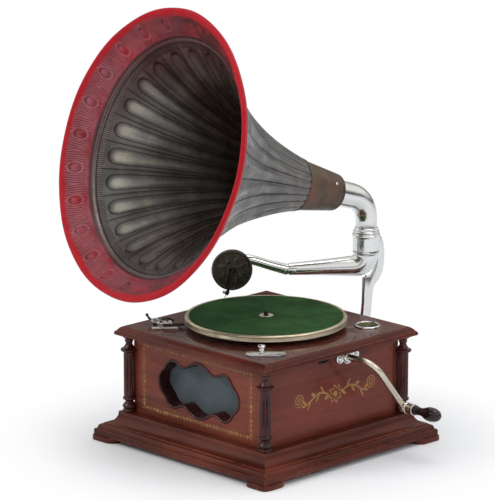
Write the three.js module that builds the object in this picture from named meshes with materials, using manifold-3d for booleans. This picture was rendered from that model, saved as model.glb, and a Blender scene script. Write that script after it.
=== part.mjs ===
// A table gramophone: a moulded mahogany case with a lobed window, a spring motor, a turntable,
// a winding crank, a nickel bracket that carries a tapered tone arm and a swivelling fluted horn.
// Millimetres, +Z up. The origin is on the floor, on the turntable's axis; the window faces -Y.

import * as THREE from 'three';
import { mergeVertices } from 'three/addons/utils/BufferGeometryUtils.js';
import Module from 'manifold-3d';

const wasm = await Module();
wasm.setup();

// ---------------------------------------------------------------- driving dimensions

const gap = 0.3; // between touching pieces
const runningGap = 0.4; // between pieces that turn past each other

// case
const caseHalf = 146; // centre to the panels' outer faces
const panelThick = 12;
const wallHeight = 123.4;
const shelfOut = 17.7; // the flat on top of the plinth, beyond the panels
const plinthOut = 27.7; // the plinth's foot, beyond that flat
const plinthHeight = 37.7;
const plinthLedge = 6; // plinth inside the panels
const coveWidth = 7.1;
const coveHeight = 13.9;
const boardThick = 9;
const footHeight = 8;
const footOut = 4.2; // beyond the plinth
const footLength = 50;
const footWidth = 32;
const footNose = 9;
const deckOut = 22.3; // beyond the panels
const deckSlope = 9.6; // width of the sloped edge
const deckThick = 14.5;

// columns
const columnOut = 5.5; // the column's axis, beyond the panels
const columnBaseHeight = 27.3;
const capitalHeight = 28.1;
const shaftRadius = 8.8;
const fluteCut = 0.9;
const shaftFlutes = 9;

// window
const topLobeRadius = 66.2;
const topLobeDrop = 21.9; // top lobe's centre below the window's centre
const cornerLobeX = 53.1;
const cornerLobeY = 16.6;
const cornerLobeRadius = 23;
const sideLobeX = 64.1;
const sideLobeRadius = 25.9;
const lipWidth = 9;
const lipProud = 3;
const sleeveWall = 2;
const sleeveDepth = 22;
const clothThick = 1.5;

// turntable
const platterRadius = 127;
const platterRim = 9;
const platterWeb = 2;
const feltRadius = 120.4;
const feltThick = 1;
const platterLift = 7.9; // deck to the rim's lower edge
const platterSides = 40;
const pinRadius = 3.6;
const pinHeight = 6.5; // above the felt
const washerRadius = 11.5; // lies in the felt's hole, level with it
const flangeRadius = 13;

// motor
const bedplateThick = 4;
const plateCorner = 12;
const bedplateMin = new THREE.Vector2(-44, -88);
const bedplateMax = new THREE.Vector2(116, 88);
const lowerPlateFront = -64;
const pillarInset = 12;
const pillarRadius = 6;
const motorDepth = 62.4; // between the two plates
const lowerPlateThick = 3;
const barrelX = 62;
const barrelY = 31;
const barrelRadius = 36;
const barrelGearRadius = 40;
const barrelHeight = 34;
const barrelLift = 3.3;
const barrelWall = 2;
const arborRadius = 4;
const arborHub = 8;
const crownRadius = 18;
const crownThick = 5.6;
const smallPinion = 6;
const wheelRadius = 26;
const wheelThick = 3;
const wheelShaft = 2.5;
const spindlePinion = 5;
const spindleRadius = 3.9;
const wormWheelRadius = 22;
const wormWheelThick = 4;
const governorLift = 16.7; // above the lower plate
const governorStart = -15.5;
const governorEnd = 71.5;
const governorShaft = 2;
const governorPost = 4;
const governorPostHalf = 5;
const wormRadius = 4;
const wormHalf = 7;
const leafStart = 24;
const leafEnd = 54;
const leafRoot = 4.2;
const leafThick = 1;
const leafWidth = 5;
const flyWeight = 4.8;
const flyReach = 11.2;
const brakeDisc = 10;
const brakeDiscX = 57.5;
const brakeDiscThick = 2;
const leverPivotX = 90;
const leverPivotY = -75;
const leverPost = 2.5;
const leverThick = 3;
const leverDrop = 15; // below the bedplate
const lugThick = 8;
const lugHalf = 9;
const lugReach = 12; // past the winding pinion
const crankDrop = 12; // below the deck
const crankPinion = 7;
const crankPinionLength = 8;

// winding crank
const crankRadius = 5;
const crankOut = 33; // panel to the start of the bend
const crankBend = 24;
const crankThrow = 107.6;
const crankSlope = 50.5; // degrees below level, towards the back
const eyeRadius = 8;
const eyeThick = 10;
const handlePin = 2.8;
const ferruleRadius = 9.3;
const ferruleLength = 18;
const handleNeck = 5.8;
const handleBulb = 11.3;
const handleLength = 52.5;
const escutcheonThick = 2.2;
const escutcheonRadius = 11;
const escutcheonLobe = 8;
const escutcheonReach = 16.8;
const bossRadius = 8;
const bossProud = 5;
const hookY = -22;
const hookDrop = 9; // below the deck
const hookHalf = 9;
const hookPlateHalf = 2.5;
const hookWire = 1.3;
const hookReach = 7;

// deck fittings
const speedPlateLength = 60;
const speedPlateWidth = 30;
const speedPlateThick = 3;
const speedPlateIn = 29.3; // inside the panels' outer faces
const speedPlateCorner = 8;
const knobShift = 6;
const knobRadius = 5.8;
const knobHeight = 9;
const knobStem = 2.6;
const knobTop = 15.5; // above the deck
const cupRadius = 20.25;
const cupInX = 35; // inside the panels' outer faces
const cupInY = 33;
const cupProud = 3;
const cupBore = 17;
const cupWall = 1.2;
const cupDepth = 10;
const cupSides = 18;
const brakeAzimuth = 48.366; // degrees from the side towards the front
const brakeReach = 29.542; // the brake plate's centre to the turntable's rim
const brakeBaseLength = 45;
const brakeBaseWidth = 22;
const brakeBaseThick = 2.5;
const brakeBladeThick = 2;
const brakeBladeWidth = 8;
const domeRadius = 3.2;

// bracket and pivots
const pivotOut = 79.5; // the swivel's axis behind the back panel
const sleeveRadius = 22.1;
const sleeveBore = 18.3;
const sleeveSides = 20;
const sleeveHeight = 32.6;
const sleeveLift = 0.7; // above the tone arm's bend
const webThick = 7;
const webDrop = 19.2; // the web's top under the tone arm, below its axis
const webThroat = 10; // half the swan neck's width under the tone arm
const webBack = 40; // the web's back behind the swivel's axis
const slotWidth = 4;
const slotHeight = 12;
const slotCover = 5.5; // web above the slot
const backPlateWidth = 56;
const backPlateThick = 5;
const backPlateRise = 13.7; // its foot above the panel's
const backPlateHeight = 96;
const backPlateCorner = 10;
const pivotScrewRadius = 1.8;

// tone arm
const armAzimuth = 33.3; // degrees to the left of the front
const armRadius = 20;
const armBend = 21;
const armBendEnd = 15.6; // the tube's radius over the pivot screw
const armLevel = 16.7; // its radius just past the bend
const armRise = 40; // its axis above the felt
const armSpigot = 15.6; // inside the sleeve
const kinkAt = 131;
const kinkRadius = 9.4;
const kinkBall = 8.8;
const armWall = 1.3;
const neckRadius = 7.7;
const neckSwell = 0.9; // its growth towards the hinge
const neckCrest = 19.4; // its highest point above the hinge
const neckBore = 5;
const earWidth = 9;
const earLength = 16;
const earThick = 1.6;
const hingePin = 1.5;

// sound box
const boxAt = 221.4; // along the arm
const boxRise = 6.9; // above the arm's axis
const boxBack = 6.3; // the back face, to the side of the arm's axis
const boxRadius = 32.5;
const boxThick = 14;
const boxSides = 24;
const coverHoles = 8;
const coverHoleRadius = 3;
const coverHoleRing = 18.5;
const diaphragmThick = 1;
const stylusTilt = 29.6;
const stylusShift = 12.3;
const holderLength = 6.5;
const holderRadius = 3.1;
const studRadius = 1.2;
const screwHeadRadius = 2.6;
const needleRadius = 0.8;
const needleIn = 3; // inside the holder
const needleLength = 6.5; // below the holder
const needlePoint = 4;

// horn
const hornYaw = 7.44;
const hornPitch = 16.83;
const hornRise = 54.9; // where the horn's axis crosses the swivel axis, above the sleeve
const elbowBend = 45;
const elbowFoot = 17;
const elbowEnd = 22;
const elbowReach = 96;
const collarStart = 69;
const collarLength = 84;
const collarFoot = 29.5;
const collarEnd = 41;
const bellNeck = 42;
const bellMouth = 226.4;
const bellLength = 288.4;
const bellFlare = 1.72;
const hornWall = 1.6;
const rollRadius = 4;
const hornFlutes = 24;
const fluteDepth = 4;
const flutesEnd = 0.81; // share of the bell's length where its flange begins

// ---------------------------------------------------------------- derived places

const shelfHalf = caseHalf + shelfOut;
const plinthHalf = shelfHalf + plinthOut;
const footHalf = plinthHalf + footOut;
const deckHalf = caseHalf + deckOut;
const deckTopHalf = deckHalf - deckSlope;
const columnAxis = caseHalf + columnOut;
const plinthZ = footHeight + gap;
const plinthTop = plinthZ + plinthHeight;
const wallZ = plinthTop + gap;
const wallTop = wallZ + wallHeight;
const deckZ = wallTop + gap;
const deckTop = deckZ + deckThick;
const wallInner = caseHalf - panelThick;
const windowZ = wallZ + wallHeight / 2;

const rimFoot = deckTop + platterLift;
const platterTop = rimFoot + platterRim;
const feltTop = platterTop + gap + feltThick;
const flangeTop = platterTop - platterWeb - gap;
const pinTop = feltTop + pinHeight;

const bedplateZ = deckZ - gap - bedplateThick;
const lowerPlateTop = bedplateZ - motorDepth;
const governorZ = lowerPlateTop + governorLift;
const crankZ = deckZ - crankDrop;
const crankRun = caseHalf + crankOut;
const hookZ = deckZ - hookDrop;
const barrelZ = lowerPlateTop + barrelLift;
const barrelTop = barrelZ + barrelHeight;
const wheelZ = barrelTop + barrelWall + 2 * runningGap;
const crownZ = crankZ - crankPinion - runningGap - crownThick;
const governorY = -(wormWheelRadius + wormRadius + runningGap);

const barrelReach = barrelGearRadius + smallPinion + runningGap;
const spindleReach = wheelRadius + spindlePinion + runningGap;
const collarStop = collarStart + collarLength;
const degree = Math.PI / 180;

const speedPlateAt = caseHalf - speedPlateIn;
const cupX = caseHalf - cupInX;
const cupY = caseHalf - cupInY;
const brakeX = -(platterRadius + brakeReach) * Math.cos(brakeAzimuth * degree);
const brakeY = -(platterRadius + brakeReach) * Math.sin(brakeAzimuth * degree);

const pivotY = caseHalf + pivotOut;
const backPlateFoot = wallZ + backPlateRise;
const armZ = feltTop + armRise;
const boxZ = armZ + boxRise;
const webBelow = armZ - webDrop;
const sleeveFoot = armZ + armBend + sleeveLift;
const sleeveTop = sleeveFoot + sleeveHeight;
const armNeckTop = sleeveFoot + armSpigot;
const hornZ = sleeveTop + hornRise;

// The corner radius of a many-sided bore whose flats lie at the radius.
function roundFlats(radius, sides) {
  return radius / Math.cos(Math.PI / sides);
}

const socketRadius = roundFlats(kinkBall + gap, 12);

// ---------------------------------------------------------------- materials

function finish(color, roughness, metalness) {
  return new THREE.MeshStandardMaterial({ color, roughness, metalness });
}

const mahogany = finish(0x7d3c2d, 0.35, 0);
const darkMahogany = finish(0x55231e, 0.35, 0);
const ebonised = finish(0x241514, 0.3, 0);
const nickel = finish(0xc8beaa, 0.22, 1);
const dullNickel = finish(0xa89f90, 0.4, 1);
const iron = finish(0x2b2b2e, 0.6, 0.7);
const steel = finish(0x8e9094, 0.35, 1);
const brass = finish(0xb08a4a, 0.35, 1);
const greenFelt = finish(0x235f32, 0.95, 0);
const cloth = finish(0x4b5055, 0.95, 0);
const darkHardware = finish(0x2a2522, 0.5, 0.6);
const bronze = finish(0x3b342c, 0.4, 0.8);
const mica = finish(0xb9b3a2, 0.25, 0);
const leather = finish(0x3a2418, 0.8, 0);
const hornPaint = finish(0x5a544c, 0.4, 0.5);
const collarPaint = finish(0x5b3b22, 0.5, 0.4);
const darkWood = finish(0x2c161b, 0.35, 0);

// ---------------------------------------------------------------- solids

const weld = 1e-4;

// One closed mesh: shared corners, no collapsed triangles, faces out.
function welded(geometry) {
  const bare = geometry.clone();
  bare.deleteAttribute('normal');
  bare.deleteAttribute('uv');
  const merged = mergeVertices(bare, weld);
  const corners = merged.index.array;
  const position = merged.attributes.position;
  const [a, b, c] = [new THREE.Vector3(), new THREE.Vector3(), new THREE.Vector3()];
  const kept = [];
  let volume = 0;
  for (let i = 0; i < corners.length; i += 3) {
    const [p, q, r] = [corners[i], corners[i + 1], corners[i + 2]];
    if (p === q || q === r || r === p) continue;
    kept.push(p, q, r);
    a.fromBufferAttribute(position, p);
    b.fromBufferAttribute(position, q);
    c.fromBufferAttribute(position, r);
    volume += a.dot(b.cross(c));
  }
  merged.setIndex(volume < 0 ? kept.reverse() : kept);
  merged.computeVertexNormals();
  return merged;
}

function toSolid(geometry) {
  const closed = welded(geometry);
  return new wasm.Manifold(new wasm.Mesh({
    numProp: 3,
    vertProperties: new Float32Array(closed.attributes.position.array),
    triVerts: new Uint32Array(closed.index.array),
  }));
}

function toGeometry(solid) {
  const mesh = solid.getMesh();
  const geometry = new THREE.BufferGeometry();
  geometry.setAttribute('position', new THREE.BufferAttribute(mesh.vertProperties, 3));
  geometry.setIndex(new THREE.BufferAttribute(mesh.triVerts, 1));
  geometry.computeVertexNormals();
  return geometry;
}

function join(...geometries) {
  return toGeometry(geometries.map(toSolid).reduce((whole, part) => whole.add(part)));
}

function cut(geometry, ...tools) {
  return toGeometry(tools.map(toSolid).reduce((rest, tool) => rest.subtract(tool), toSolid(geometry)));
}

// A turned piece about +Z. A profile that leaves the axis open closes on itself.
function turned(profile, sides = 20) {
  const points = profile.map(([radius, z]) => new THREE.Vector2(radius, z));
  const [first, last] = [points[0], points[points.length - 1]];
  if (first.x > 0 || last.x > 0) points.push(first.clone());
  return new THREE.LatheGeometry(points, sides).rotateX(Math.PI / 2);
}

// A square moulding about +Z, mitred at its four corners: the profile is [half side, z].
function mitred(profile) {
  const points = profile.map(([half, z]) => new THREE.Vector2(half * Math.SQRT2, z));
  if (points[0].x > 0) points.push(points[0].clone());
  return new THREE.LatheGeometry(points, 4, Math.PI / 4).rotateX(Math.PI / 2);
}

function post(radius, bottom, top, sides = 10) {
  return turned([[0, bottom], [radius, bottom], [radius, top], [0, top]], sides);
}

// A post from (x, y, bottom) to (x, y, top).
function postAt(x, y, radius, bottom, top, sides = 10) {
  return post(radius, bottom, top, sides).translate(x, y, 0);
}

function box(minX, minY, minZ, maxX, maxY, maxZ) {
  const block = new THREE.BoxGeometry(maxX - minX, maxY - minY, maxZ - minZ);
  return block.translate((minX + maxX) / 2, (minY + maxY) / 2, (minZ + maxZ) / 2);
}

// An outline's points, without the doubled ones where two arcs meet.
function outlinePoints(outline, divisions) {
  const points = outline.getPoints(divisions);
  return points.filter((point, i) => point.distanceTo(points[(i + 1) % points.length]) > 0.01);
}

function slab(shape, bottom, thick, divisions = 2) {
  const outline = new THREE.Shape(outlinePoints(shape, divisions));
  outline.holes = shape.holes.map((hole) => new THREE.Path(outlinePoints(hole, divisions)));
  const options = { depth: thick, bevelEnabled: false };
  return new THREE.ExtrudeGeometry(outline, options).translate(0, 0, bottom);
}

function roundedRectangle(minX, minY, maxX, maxY, radius) {
  const shape = new THREE.Shape();
  shape.absarc(maxX - radius, maxY - radius, radius, 0, Math.PI / 2);
  shape.absarc(minX + radius, maxY - radius, radius, Math.PI / 2, Math.PI);
  shape.absarc(minX + radius, minY + radius, radius, Math.PI, 1.5 * Math.PI);
  shape.absarc(maxX - radius, minY + radius, radius, 1.5 * Math.PI, 2 * Math.PI);
  shape.closePath();
  return shape;
}

function polygon(points) {
  return new THREE.Shape(points.map(([x, y]) => new THREE.Vector2(x, y)));
}

// A gear blank with pointed teeth.
function toothed(tip, depth, teeth, bottom, thick) {
  const points = [];
  for (let i = 0; i < 2 * teeth; i += 1) {
    const radius = i % 2 ? tip - depth : tip;
    const angle = (Math.PI * i) / teeth;
    points.push([radius * Math.cos(angle), radius * Math.sin(angle)]);
  }
  return slab(polygon(points), bottom, thick);
}

// Turns a piece that was made along +Z so that it runs along +X or +Y.
const alongX = (geometry) => geometry.rotateY(Math.PI / 2);
const alongY = (geometry) => geometry.rotateX(-Math.PI / 2);

class Arc extends THREE.Curve {
  // from and towards are square to each other and as long as the arc's radius
  constructor(centre, from, towards, angle) {
    super();
    Object.assign(this, { centre, from, towards, angle });
  }

  getPoint(t, target = new THREE.Vector3()) {
    const turn = this.angle * t;
    target.copy(this.centre);
    target.addScaledVector(this.from, Math.cos(turn));
    return target.addScaledVector(this.towards, Math.sin(turn));
  }
}

function straight(start, end) {
  return new THREE.LineCurve3(start, end);
}

function pathOf(...curves) {
  const path = new THREE.CurvePath();
  curves.forEach((curve) => path.add(curve));
  return path;
}

// A round bar along a path. Each station is [distance along the path, radius].
function sweptBar(path, stations, sides = 16) {
  const length = path.getLength();
  const rows = [[stations[0][0], 0], ...stations, [stations[stations.length - 1][0], 0]];
  const blank = new THREE.LatheGeometry(rows.map((row, i) => new THREE.Vector2(row[1], i)), sides);
  const position = blank.attributes.position;
  const tangent = path.getTangentAt(0);
  const side = new THREE.Vector3(0, 0, 1);
  if (Math.abs(tangent.z) > 0.9) side.set(0, 1, 0);
  side.cross(tangent).normalize();
  const turn = new THREE.Quaternion();
  const point = new THREE.Vector3();
  rows.forEach(([distance], row) => {
    const along = Math.min(1, Math.max(0, distance / length));
    const centre = path.getPointAt(along);
    const heading = path.getTangentAt(along);
    side.applyQuaternion(turn.setFromUnitVectors(tangent, heading));
    tangent.copy(heading);
    const across = heading.clone().cross(side);
    for (let i = 0; i <= sides; i += 1) {
      const vertex = i * rows.length + row;
      point.copy(centre);
      point.addScaledVector(across, position.getX(vertex));
      point.addScaledVector(side, position.getZ(vertex));
      position.setXYZ(vertex, point.x, point.y, point.z);
    }
  });
  return blank;
}

function evenStations(from, to, steps, radiusAt) {
  return Array.from({ length: steps + 1 }, (_, i) => {
    const distance = from + ((to - from) * i) / steps;
    return [distance, radiusAt(distance)];
  });
}

const model = new THREE.Group();

function piece(name, geometry, material, parent = model) {
  const mesh = new THREE.Mesh(welded(geometry), material);
  mesh.name = name;
  parent.add(mesh);
  return mesh;
}

// ---------------------------------------------------------------- case

function plinthProfile() {
  const inner = wallInner - plinthLedge;
  const coveSteps = 4;
  const profile = [
    [inner, 0],
    [plinthHalf, 0],
    [plinthHalf, 9.9],
    [plinthHalf - 3.9, 13.5],
    [plinthHalf - 8.1, 19],
  ];
  for (let i = 0; i <= coveSteps; i += 1) {
    const angle = (Math.PI / 2) * (1 - i / coveSteps);
    const half = shelfHalf + coveWidth * (1 - Math.cos(angle));
    profile.push([half, plinthHeight - coveHeight * Math.sin(angle)]);
  }
  profile.push([inner, plinthHeight]);
  return profile.map(([half, z]) => [half, z + plinthZ]);
}

function footGeometry() {
  const shape = new THREE.Shape();
  const tip = footWidth / 2;
  shape.moveTo(-footLength + tip, -footWidth);
  shape.lineTo(-footWidth, -footWidth);
  shape.lineTo(-footWidth, -footLength + tip);
  shape.absarc(-tip, -footLength + tip, tip, Math.PI, 2 * Math.PI);
  shape.absarc(-footNose, -footNose, footNose, 0, Math.PI / 2);
  shape.absarc(-footLength + tip, -tip, tip, Math.PI / 2, 1.5 * Math.PI);
  return slab(shape, 0, footHeight, 3);
}

function addFeet() {
  const corners = [['front_left', 2], ['front_right', 3], ['back_right', 0], ['back_left', 1]];
  for (const [corner, quarter] of corners) {
    const foot = piece(`foot_${corner}`, footGeometry(), darkMahogany);
    const angle = quarter * Math.PI / 2;
    const [x, y] = [Math.cos(angle) - Math.sin(angle), Math.sin(angle) + Math.cos(angle)];
    foot.rotation.z = angle;
    foot.position.set(footHalf * Math.sign(x), footHalf * Math.sign(y), 0);
  }
}

// Where two circles cross, on the right of the way from the first to the second.
function circlesMeet(first, second) {
  const across = new THREE.Vector2(second.x - first.x, second.y - first.y);
  const distance = across.length();
  across.normalize();
  const along = (distance ** 2 + first.r ** 2 - second.r ** 2) / (2 * distance);
  const height = Math.sqrt(first.r ** 2 - along ** 2);
  return new THREE.Vector2(
    first.x + across.x * along + across.y * height,
    first.y + across.y * along - across.x * height,
  );
}

// The window's outline of eight lobes, grown or shrunk by an offset.
function lobedOutline(offset) {
  const side = { x: sideLobeX, y: 0, r: sideLobeRadius + offset };
  const corner = { x: cornerLobeX, y: cornerLobeY, r: cornerLobeRadius + offset };
  const top = { x: 0, y: -topLobeDrop, r: topLobeRadius + offset };
  const mirrorX = (lobe) => ({ ...lobe, x: -lobe.x });
  const mirrorY = (lobe) => ({ ...lobe, y: -lobe.y });
  const lobes = [
    side, corner, top, mirrorX(corner),
    mirrorX(side), mirrorY(mirrorX(corner)), mirrorY(top), mirrorY(corner),
  ];
  const meets = lobes.map((lobe, i) => circlesMeet(lobe, lobes[(i + 1) % lobes.length]));
  const shape = new THREE.Shape();
  lobes.forEach((lobe, i) => {
    const start = meets[(i + lobes.length - 1) % lobes.length];
    const end = meets[i];
    const from = Math.atan2(start.y - lobe.y, start.x - lobe.x);
    const to = Math.atan2(end.y - lobe.y, end.x - lobe.x);
    shape.absarc(lobe.x, lobe.y, lobe.r, from, to);
  });
  shape.closePath();
  return shape;
}

// A lobed block that runs from its front face back along +Y.
function lobedBlock(offset, front, depth) {
  const geometry = slab(lobedOutline(offset), 0, depth, 2);
  return geometry.rotateX(Math.PI / 2).translate(0, front + depth, windowZ);
}

function addWalls() {
  const sleeveOuter = -lipWidth + sleeveWall;
  const front = box(-caseHalf, -caseHalf, wallZ, caseHalf, -wallInner, wallTop);
  const opening = lobedBlock(sleeveOuter + gap, -caseHalf - 1, panelThick + 2);
  piece('front_panel', cut(front, opening), mahogany);

  const lipFront = -caseHalf - gap - lipProud;
  const lip = lobedBlock(0, lipFront, lipProud);
  const sleeve = lobedBlock(sleeveOuter, lipFront + lipProud / 2, sleeveDepth);
  const light = lobedBlock(-lipWidth, lipFront - 1, sleeveDepth + lipProud + 2);
  piece('window_moulding', cut(join(lip, sleeve), light), ebonised);

  const clothFront = lipFront + lipProud / 2 + sleeveDepth + gap;
  const clothX = sideLobeX + sideLobeRadius - lipWidth / 2;
  const clothZ = topLobeRadius - topLobeDrop - lipWidth / 2;
  piece('window_cloth', box(
    -clothX, clothFront, windowZ - clothZ, clothX, clothFront + clothThick, windowZ + clothZ,
  ), cloth);

  const back = box(-caseHalf, wallInner, wallZ, caseHalf, caseHalf, wallTop);
  const screwHoles = bracketScrews().map((screw) => bracketScrewHole(screw));
  piece('back_panel', cut(back, ...screwHoles), mahogany);

  const sideLength = wallInner - gap;
  const left = box(-caseHalf, -sideLength, wallZ, -wallInner, sideLength, wallTop);
  piece('left_panel', left, mahogany);
  const right = box(wallInner, -sideLength, wallZ, caseHalf, sideLength, wallTop);
  const crankHole = alongX(post(crankRadius + gap, wallInner - 1, caseHalf + 1, 16));
  crankHole.translate(0, barrelY, crankZ);
  piece('right_panel', cut(right, crankHole), mahogany);
}

// The turnings, in shares of the shaft's radius and of the base's or the capital's height.
const columnBase = [[1.08, 0], [1.33, 0.238], [0.705, 0.582], [1.182, 0.81], [1, 0.916]];
const columnCapital = [
  [1.557, 0.132], [1.045, 0.256], [0.523, 0.534], [0.773, 0.676], [0.773, 0.819], [1.08, 1],
];

function columnProfile() {
  const shaftStart = columnBaseHeight;
  const shaftEnd = wallHeight - capitalHeight;
  const base = columnBase.map(([across, up]) => [across * shaftRadius, up * columnBaseHeight]);
  const shaft = [[shaftRadius, shaftStart], [shaftRadius, shaftEnd]];
  const capital = columnCapital.map(([across, up]) => [across * shaftRadius, shaftEnd + up * capitalHeight]);
  return [[0, 0], ...base, ...shaft, ...capital, [0, wallHeight]];
}

function columnGeometry() {
  const sides = 2 * shaftFlutes;
  const profile = columnProfile();
  const geometry = turned(profile, sides);
  const position = geometry.attributes.position;
  const shaftRow = columnBase.length + 1;
  const flutedRows = [shaftRow, shaftRow + 1];
  for (let i = 1; i <= sides; i += 2) {
    for (const row of flutedRows) {
      const vertex = i * profile.length + row;
      const shrink = 1 - fluteCut / shaftRadius;
      position.setX(vertex, position.getX(vertex) * shrink);
      position.setY(vertex, position.getY(vertex) * shrink);
    }
  }
  return geometry;
}

function addColumns() {
  const corners = [
    ['front_left', -1, -1], ['front_right', 1, -1], ['back_left', -1, 1], ['back_right', 1, 1],
  ];
  const edge = caseHalf + gap;
  for (const [corner, x, y] of corners) {
    const column = columnGeometry().translate(x * columnAxis, y * columnAxis, wallZ);
    const walls = box(-edge, -edge, wallZ - 1, edge, edge, wallTop + 1);
    piece(`column_${corner}`, cut(column, walls), ebonised);
  }
}

function deckGeometry() {
  const board = mitred([
    [0, 0], [deckHalf - 2.3, 0], [deckHalf, 4.3], [deckHalf - 1.8, 8], [deckHalf - 3.3, 8.3],
    [deckTopHalf, deckThick], [0, deckThick],
  ].map(([half, z]) => [half, z + deckZ]));
  const below = deckZ - 1;
  const above = deckTop + 1;
  const knob = knobCentre();
  return cut(
    board,
    post(spindleRadius + 3, below, above),
    postAt(knob.x, knob.y, knobStem + gap, below, above),
    postAt(cupX, cupY, cupBore + cupWall + gap, below, above, cupSides),
  );
}

function addCase() {
  piece('plinth', mitred(plinthProfile()), darkMahogany);
  const boardHalf = wallInner - plinthLedge - gap;
  piece('bottom_board', box(
    -boardHalf, -boardHalf, plinthZ, boardHalf, boardHalf, plinthZ + boardThick,
  ), mahogany);
  addFeet();
  addWalls();
  addColumns();
  piece('deck', deckGeometry(), mahogany);
}

// ---------------------------------------------------------------- motor

// The intermediate wheel's axis, one mesh away from the barrel and one from the spindle.
function intermediateAxis() {
  const spindle = { x: 0, y: 0, r: spindleReach };
  return circlesMeet(spindle, { x: barrelX, y: barrelY, r: barrelReach });
}

function knobCentre() {
  const shift = knobShift * Math.SQRT1_2;
  return new THREE.Vector2(speedPlateAt - shift, -speedPlateAt - shift);
}

function pillarCentres() {
  const left = bedplateMin.x + pillarInset;
  const right = bedplateMax.x - pillarInset;
  const front = lowerPlateFront + pillarInset;
  const back = bedplateMax.y - pillarInset;
  return [[left, front], [right, front], [right, back], [left, back]];
}

function bedplateGeometry() {
  const outline = roundedRectangle(
    bedplateMin.x, bedplateMin.y, bedplateMax.x, bedplateMax.y, plateCorner,
  );
  const pillarFoot = lowerPlateTop + gap;
  const top = bedplateZ + bedplateThick / 2;
  const lugX = barrelX + crownRadius + crankPinionLength + lugReach;
  const lug = box(lugX, barrelY - lugHalf, crankZ - lugHalf, lugX + lugThick, barrelY + lugHalf, top);
  const pivot = postAt(leverPivotX, leverPivotY, leverPost, bedplateZ - leverDrop - 2, top);
  const pillars = pillarCentres().map(([x, y]) => postAt(x, y, pillarRadius, pillarFoot, top));
  const body = join(slab(outline, bedplateZ, bedplateThick), lug, pivot, ...pillars);
  const above = bedplateZ + bedplateThick + 1;
  const wheel = intermediateAxis();
  return cut(
    body,
    post(spindleRadius + runningGap, bedplateZ - 1, above),
    postAt(barrelX, barrelY, arborRadius + runningGap, bedplateZ - 1, above),
    postAt(wheel.x, wheel.y, wheelShaft + runningGap, bedplateZ - 1, above),
    alongX(post(crankRadius + runningGap, lugX - 1, lugX + lugThick + 1)).translate(0, barrelY, crankZ),
  );
}

function governorPosts() {
  const half = governorPostHalf;
  return [governorStart - 0.5, governorEnd + 0.5 - governorPost].map((from) => box(
    from, governorY - half, lowerPlateTop - 1, from + governorPost, governorY + half, governorZ + half,
  ));
}

function lowerPlateGeometry() {
  const bottom = lowerPlateTop - lowerPlateThick;
  const outline = roundedRectangle(
    bedplateMin.x, lowerPlateFront, bedplateMax.x, bedplateMax.y, plateCorner,
  );
  const body = join(slab(outline, bottom, lowerPlateThick), ...governorPosts());
  const wheel = intermediateAxis();
  const holes = [[0, 0, spindleRadius], [barrelX, barrelY, arborRadius], [wheel.x, wheel.y, wheelShaft]];
  const bores = holes.map(([x, y, radius]) => postAt(
    x, y, radius + runningGap, bottom - 1, lowerPlateTop + 1,
  ));
  const shaftBore = alongX(post(
    governorShaft + runningGap, governorStart - 2, governorEnd + 2, 12,
  ));
  shaftBore.translate(0, governorY, governorZ);
  return cut(body, ...bores, shaftBore);
}

function barrelGeometry() {
  const bore = arborRadius + runningGap;
  const drum = turned([
    [bore, barrelZ],
    [barrelRadius, barrelZ],
    [barrelRadius, barrelTop],
    [bore, barrelTop],
    [bore, barrelTop - barrelWall],
    [barrelRadius - barrelWall, barrelTop - barrelWall],
    [barrelRadius - barrelWall, barrelZ + barrelWall],
    [bore, barrelZ + barrelWall],
  ], 18);
  const flange = toothed(barrelGearRadius, 2, 20, barrelTop - 4, 4);
  const ring = cut(flange, post(barrelRadius - barrelWall - 1, barrelTop - 5, barrelTop + 1, 18));
  return join(drum, ring).translate(barrelX, barrelY, 0);
}

function arborGeometry() {
  const hubFoot = barrelZ + barrelWall + 2;
  const hubTop = barrelTop - barrelWall - 2;
  const foot = lowerPlateTop - lowerPlateThick;
  const top = bedplateZ + bedplateThick / 2;
  const shaft = turned([
    [0, foot], [arborRadius, foot], [arborRadius, hubFoot], [arborHub, hubFoot],
    [arborHub, hubTop], [arborRadius, hubTop], [arborRadius, top], [0, top],
  ], 12);
  const crown = toothed(crownRadius, 1.5, 12, crownZ, crownThick);
  return join(shaft, crown).translate(barrelX, barrelY, 0);
}

function intermediateGeometry() {
  const foot = lowerPlateTop - lowerPlateThick;
  const top = bedplateZ + bedplateThick / 2;
  const pinion = toothed(smallPinion, 1, 8, barrelTop - 4, 6);
  const wheel = toothed(wheelRadius, 1.2, 16, wheelZ, wheelThick);
  const centre = intermediateAxis();
  return join(post(wheelShaft, foot, top, 12), pinion, wheel).translate(centre.x, centre.y, 0);
}

function spindleGeometry() {
  const foot = lowerPlateTop - lowerPlateThick;
  const shaft = turned([
    [0, foot],
    [spindleRadius, foot],
    [spindleRadius, flangeTop - 6],
    [flangeRadius * 0.6, flangeTop - 5],
    [flangeRadius, flangeTop - 2],
    [flangeRadius, flangeTop],
    [spindleRadius, flangeTop],
    [spindleRadius, feltTop + gap],
    [pinRadius, feltTop + gap],
    [pinRadius, pinTop - 1.5],
    [pinRadius * 0.6, pinTop],
    [0, pinTop],
  ], 12);
  const wormWheel = toothed(wormWheelRadius, 1, 12, governorZ - wormWheelThick / 2, wormWheelThick);
  const pinion = toothed(spindlePinion, 0.8, 8, wheelZ, wheelThick);
  return join(shaft, wormWheel, pinion);
}

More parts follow.
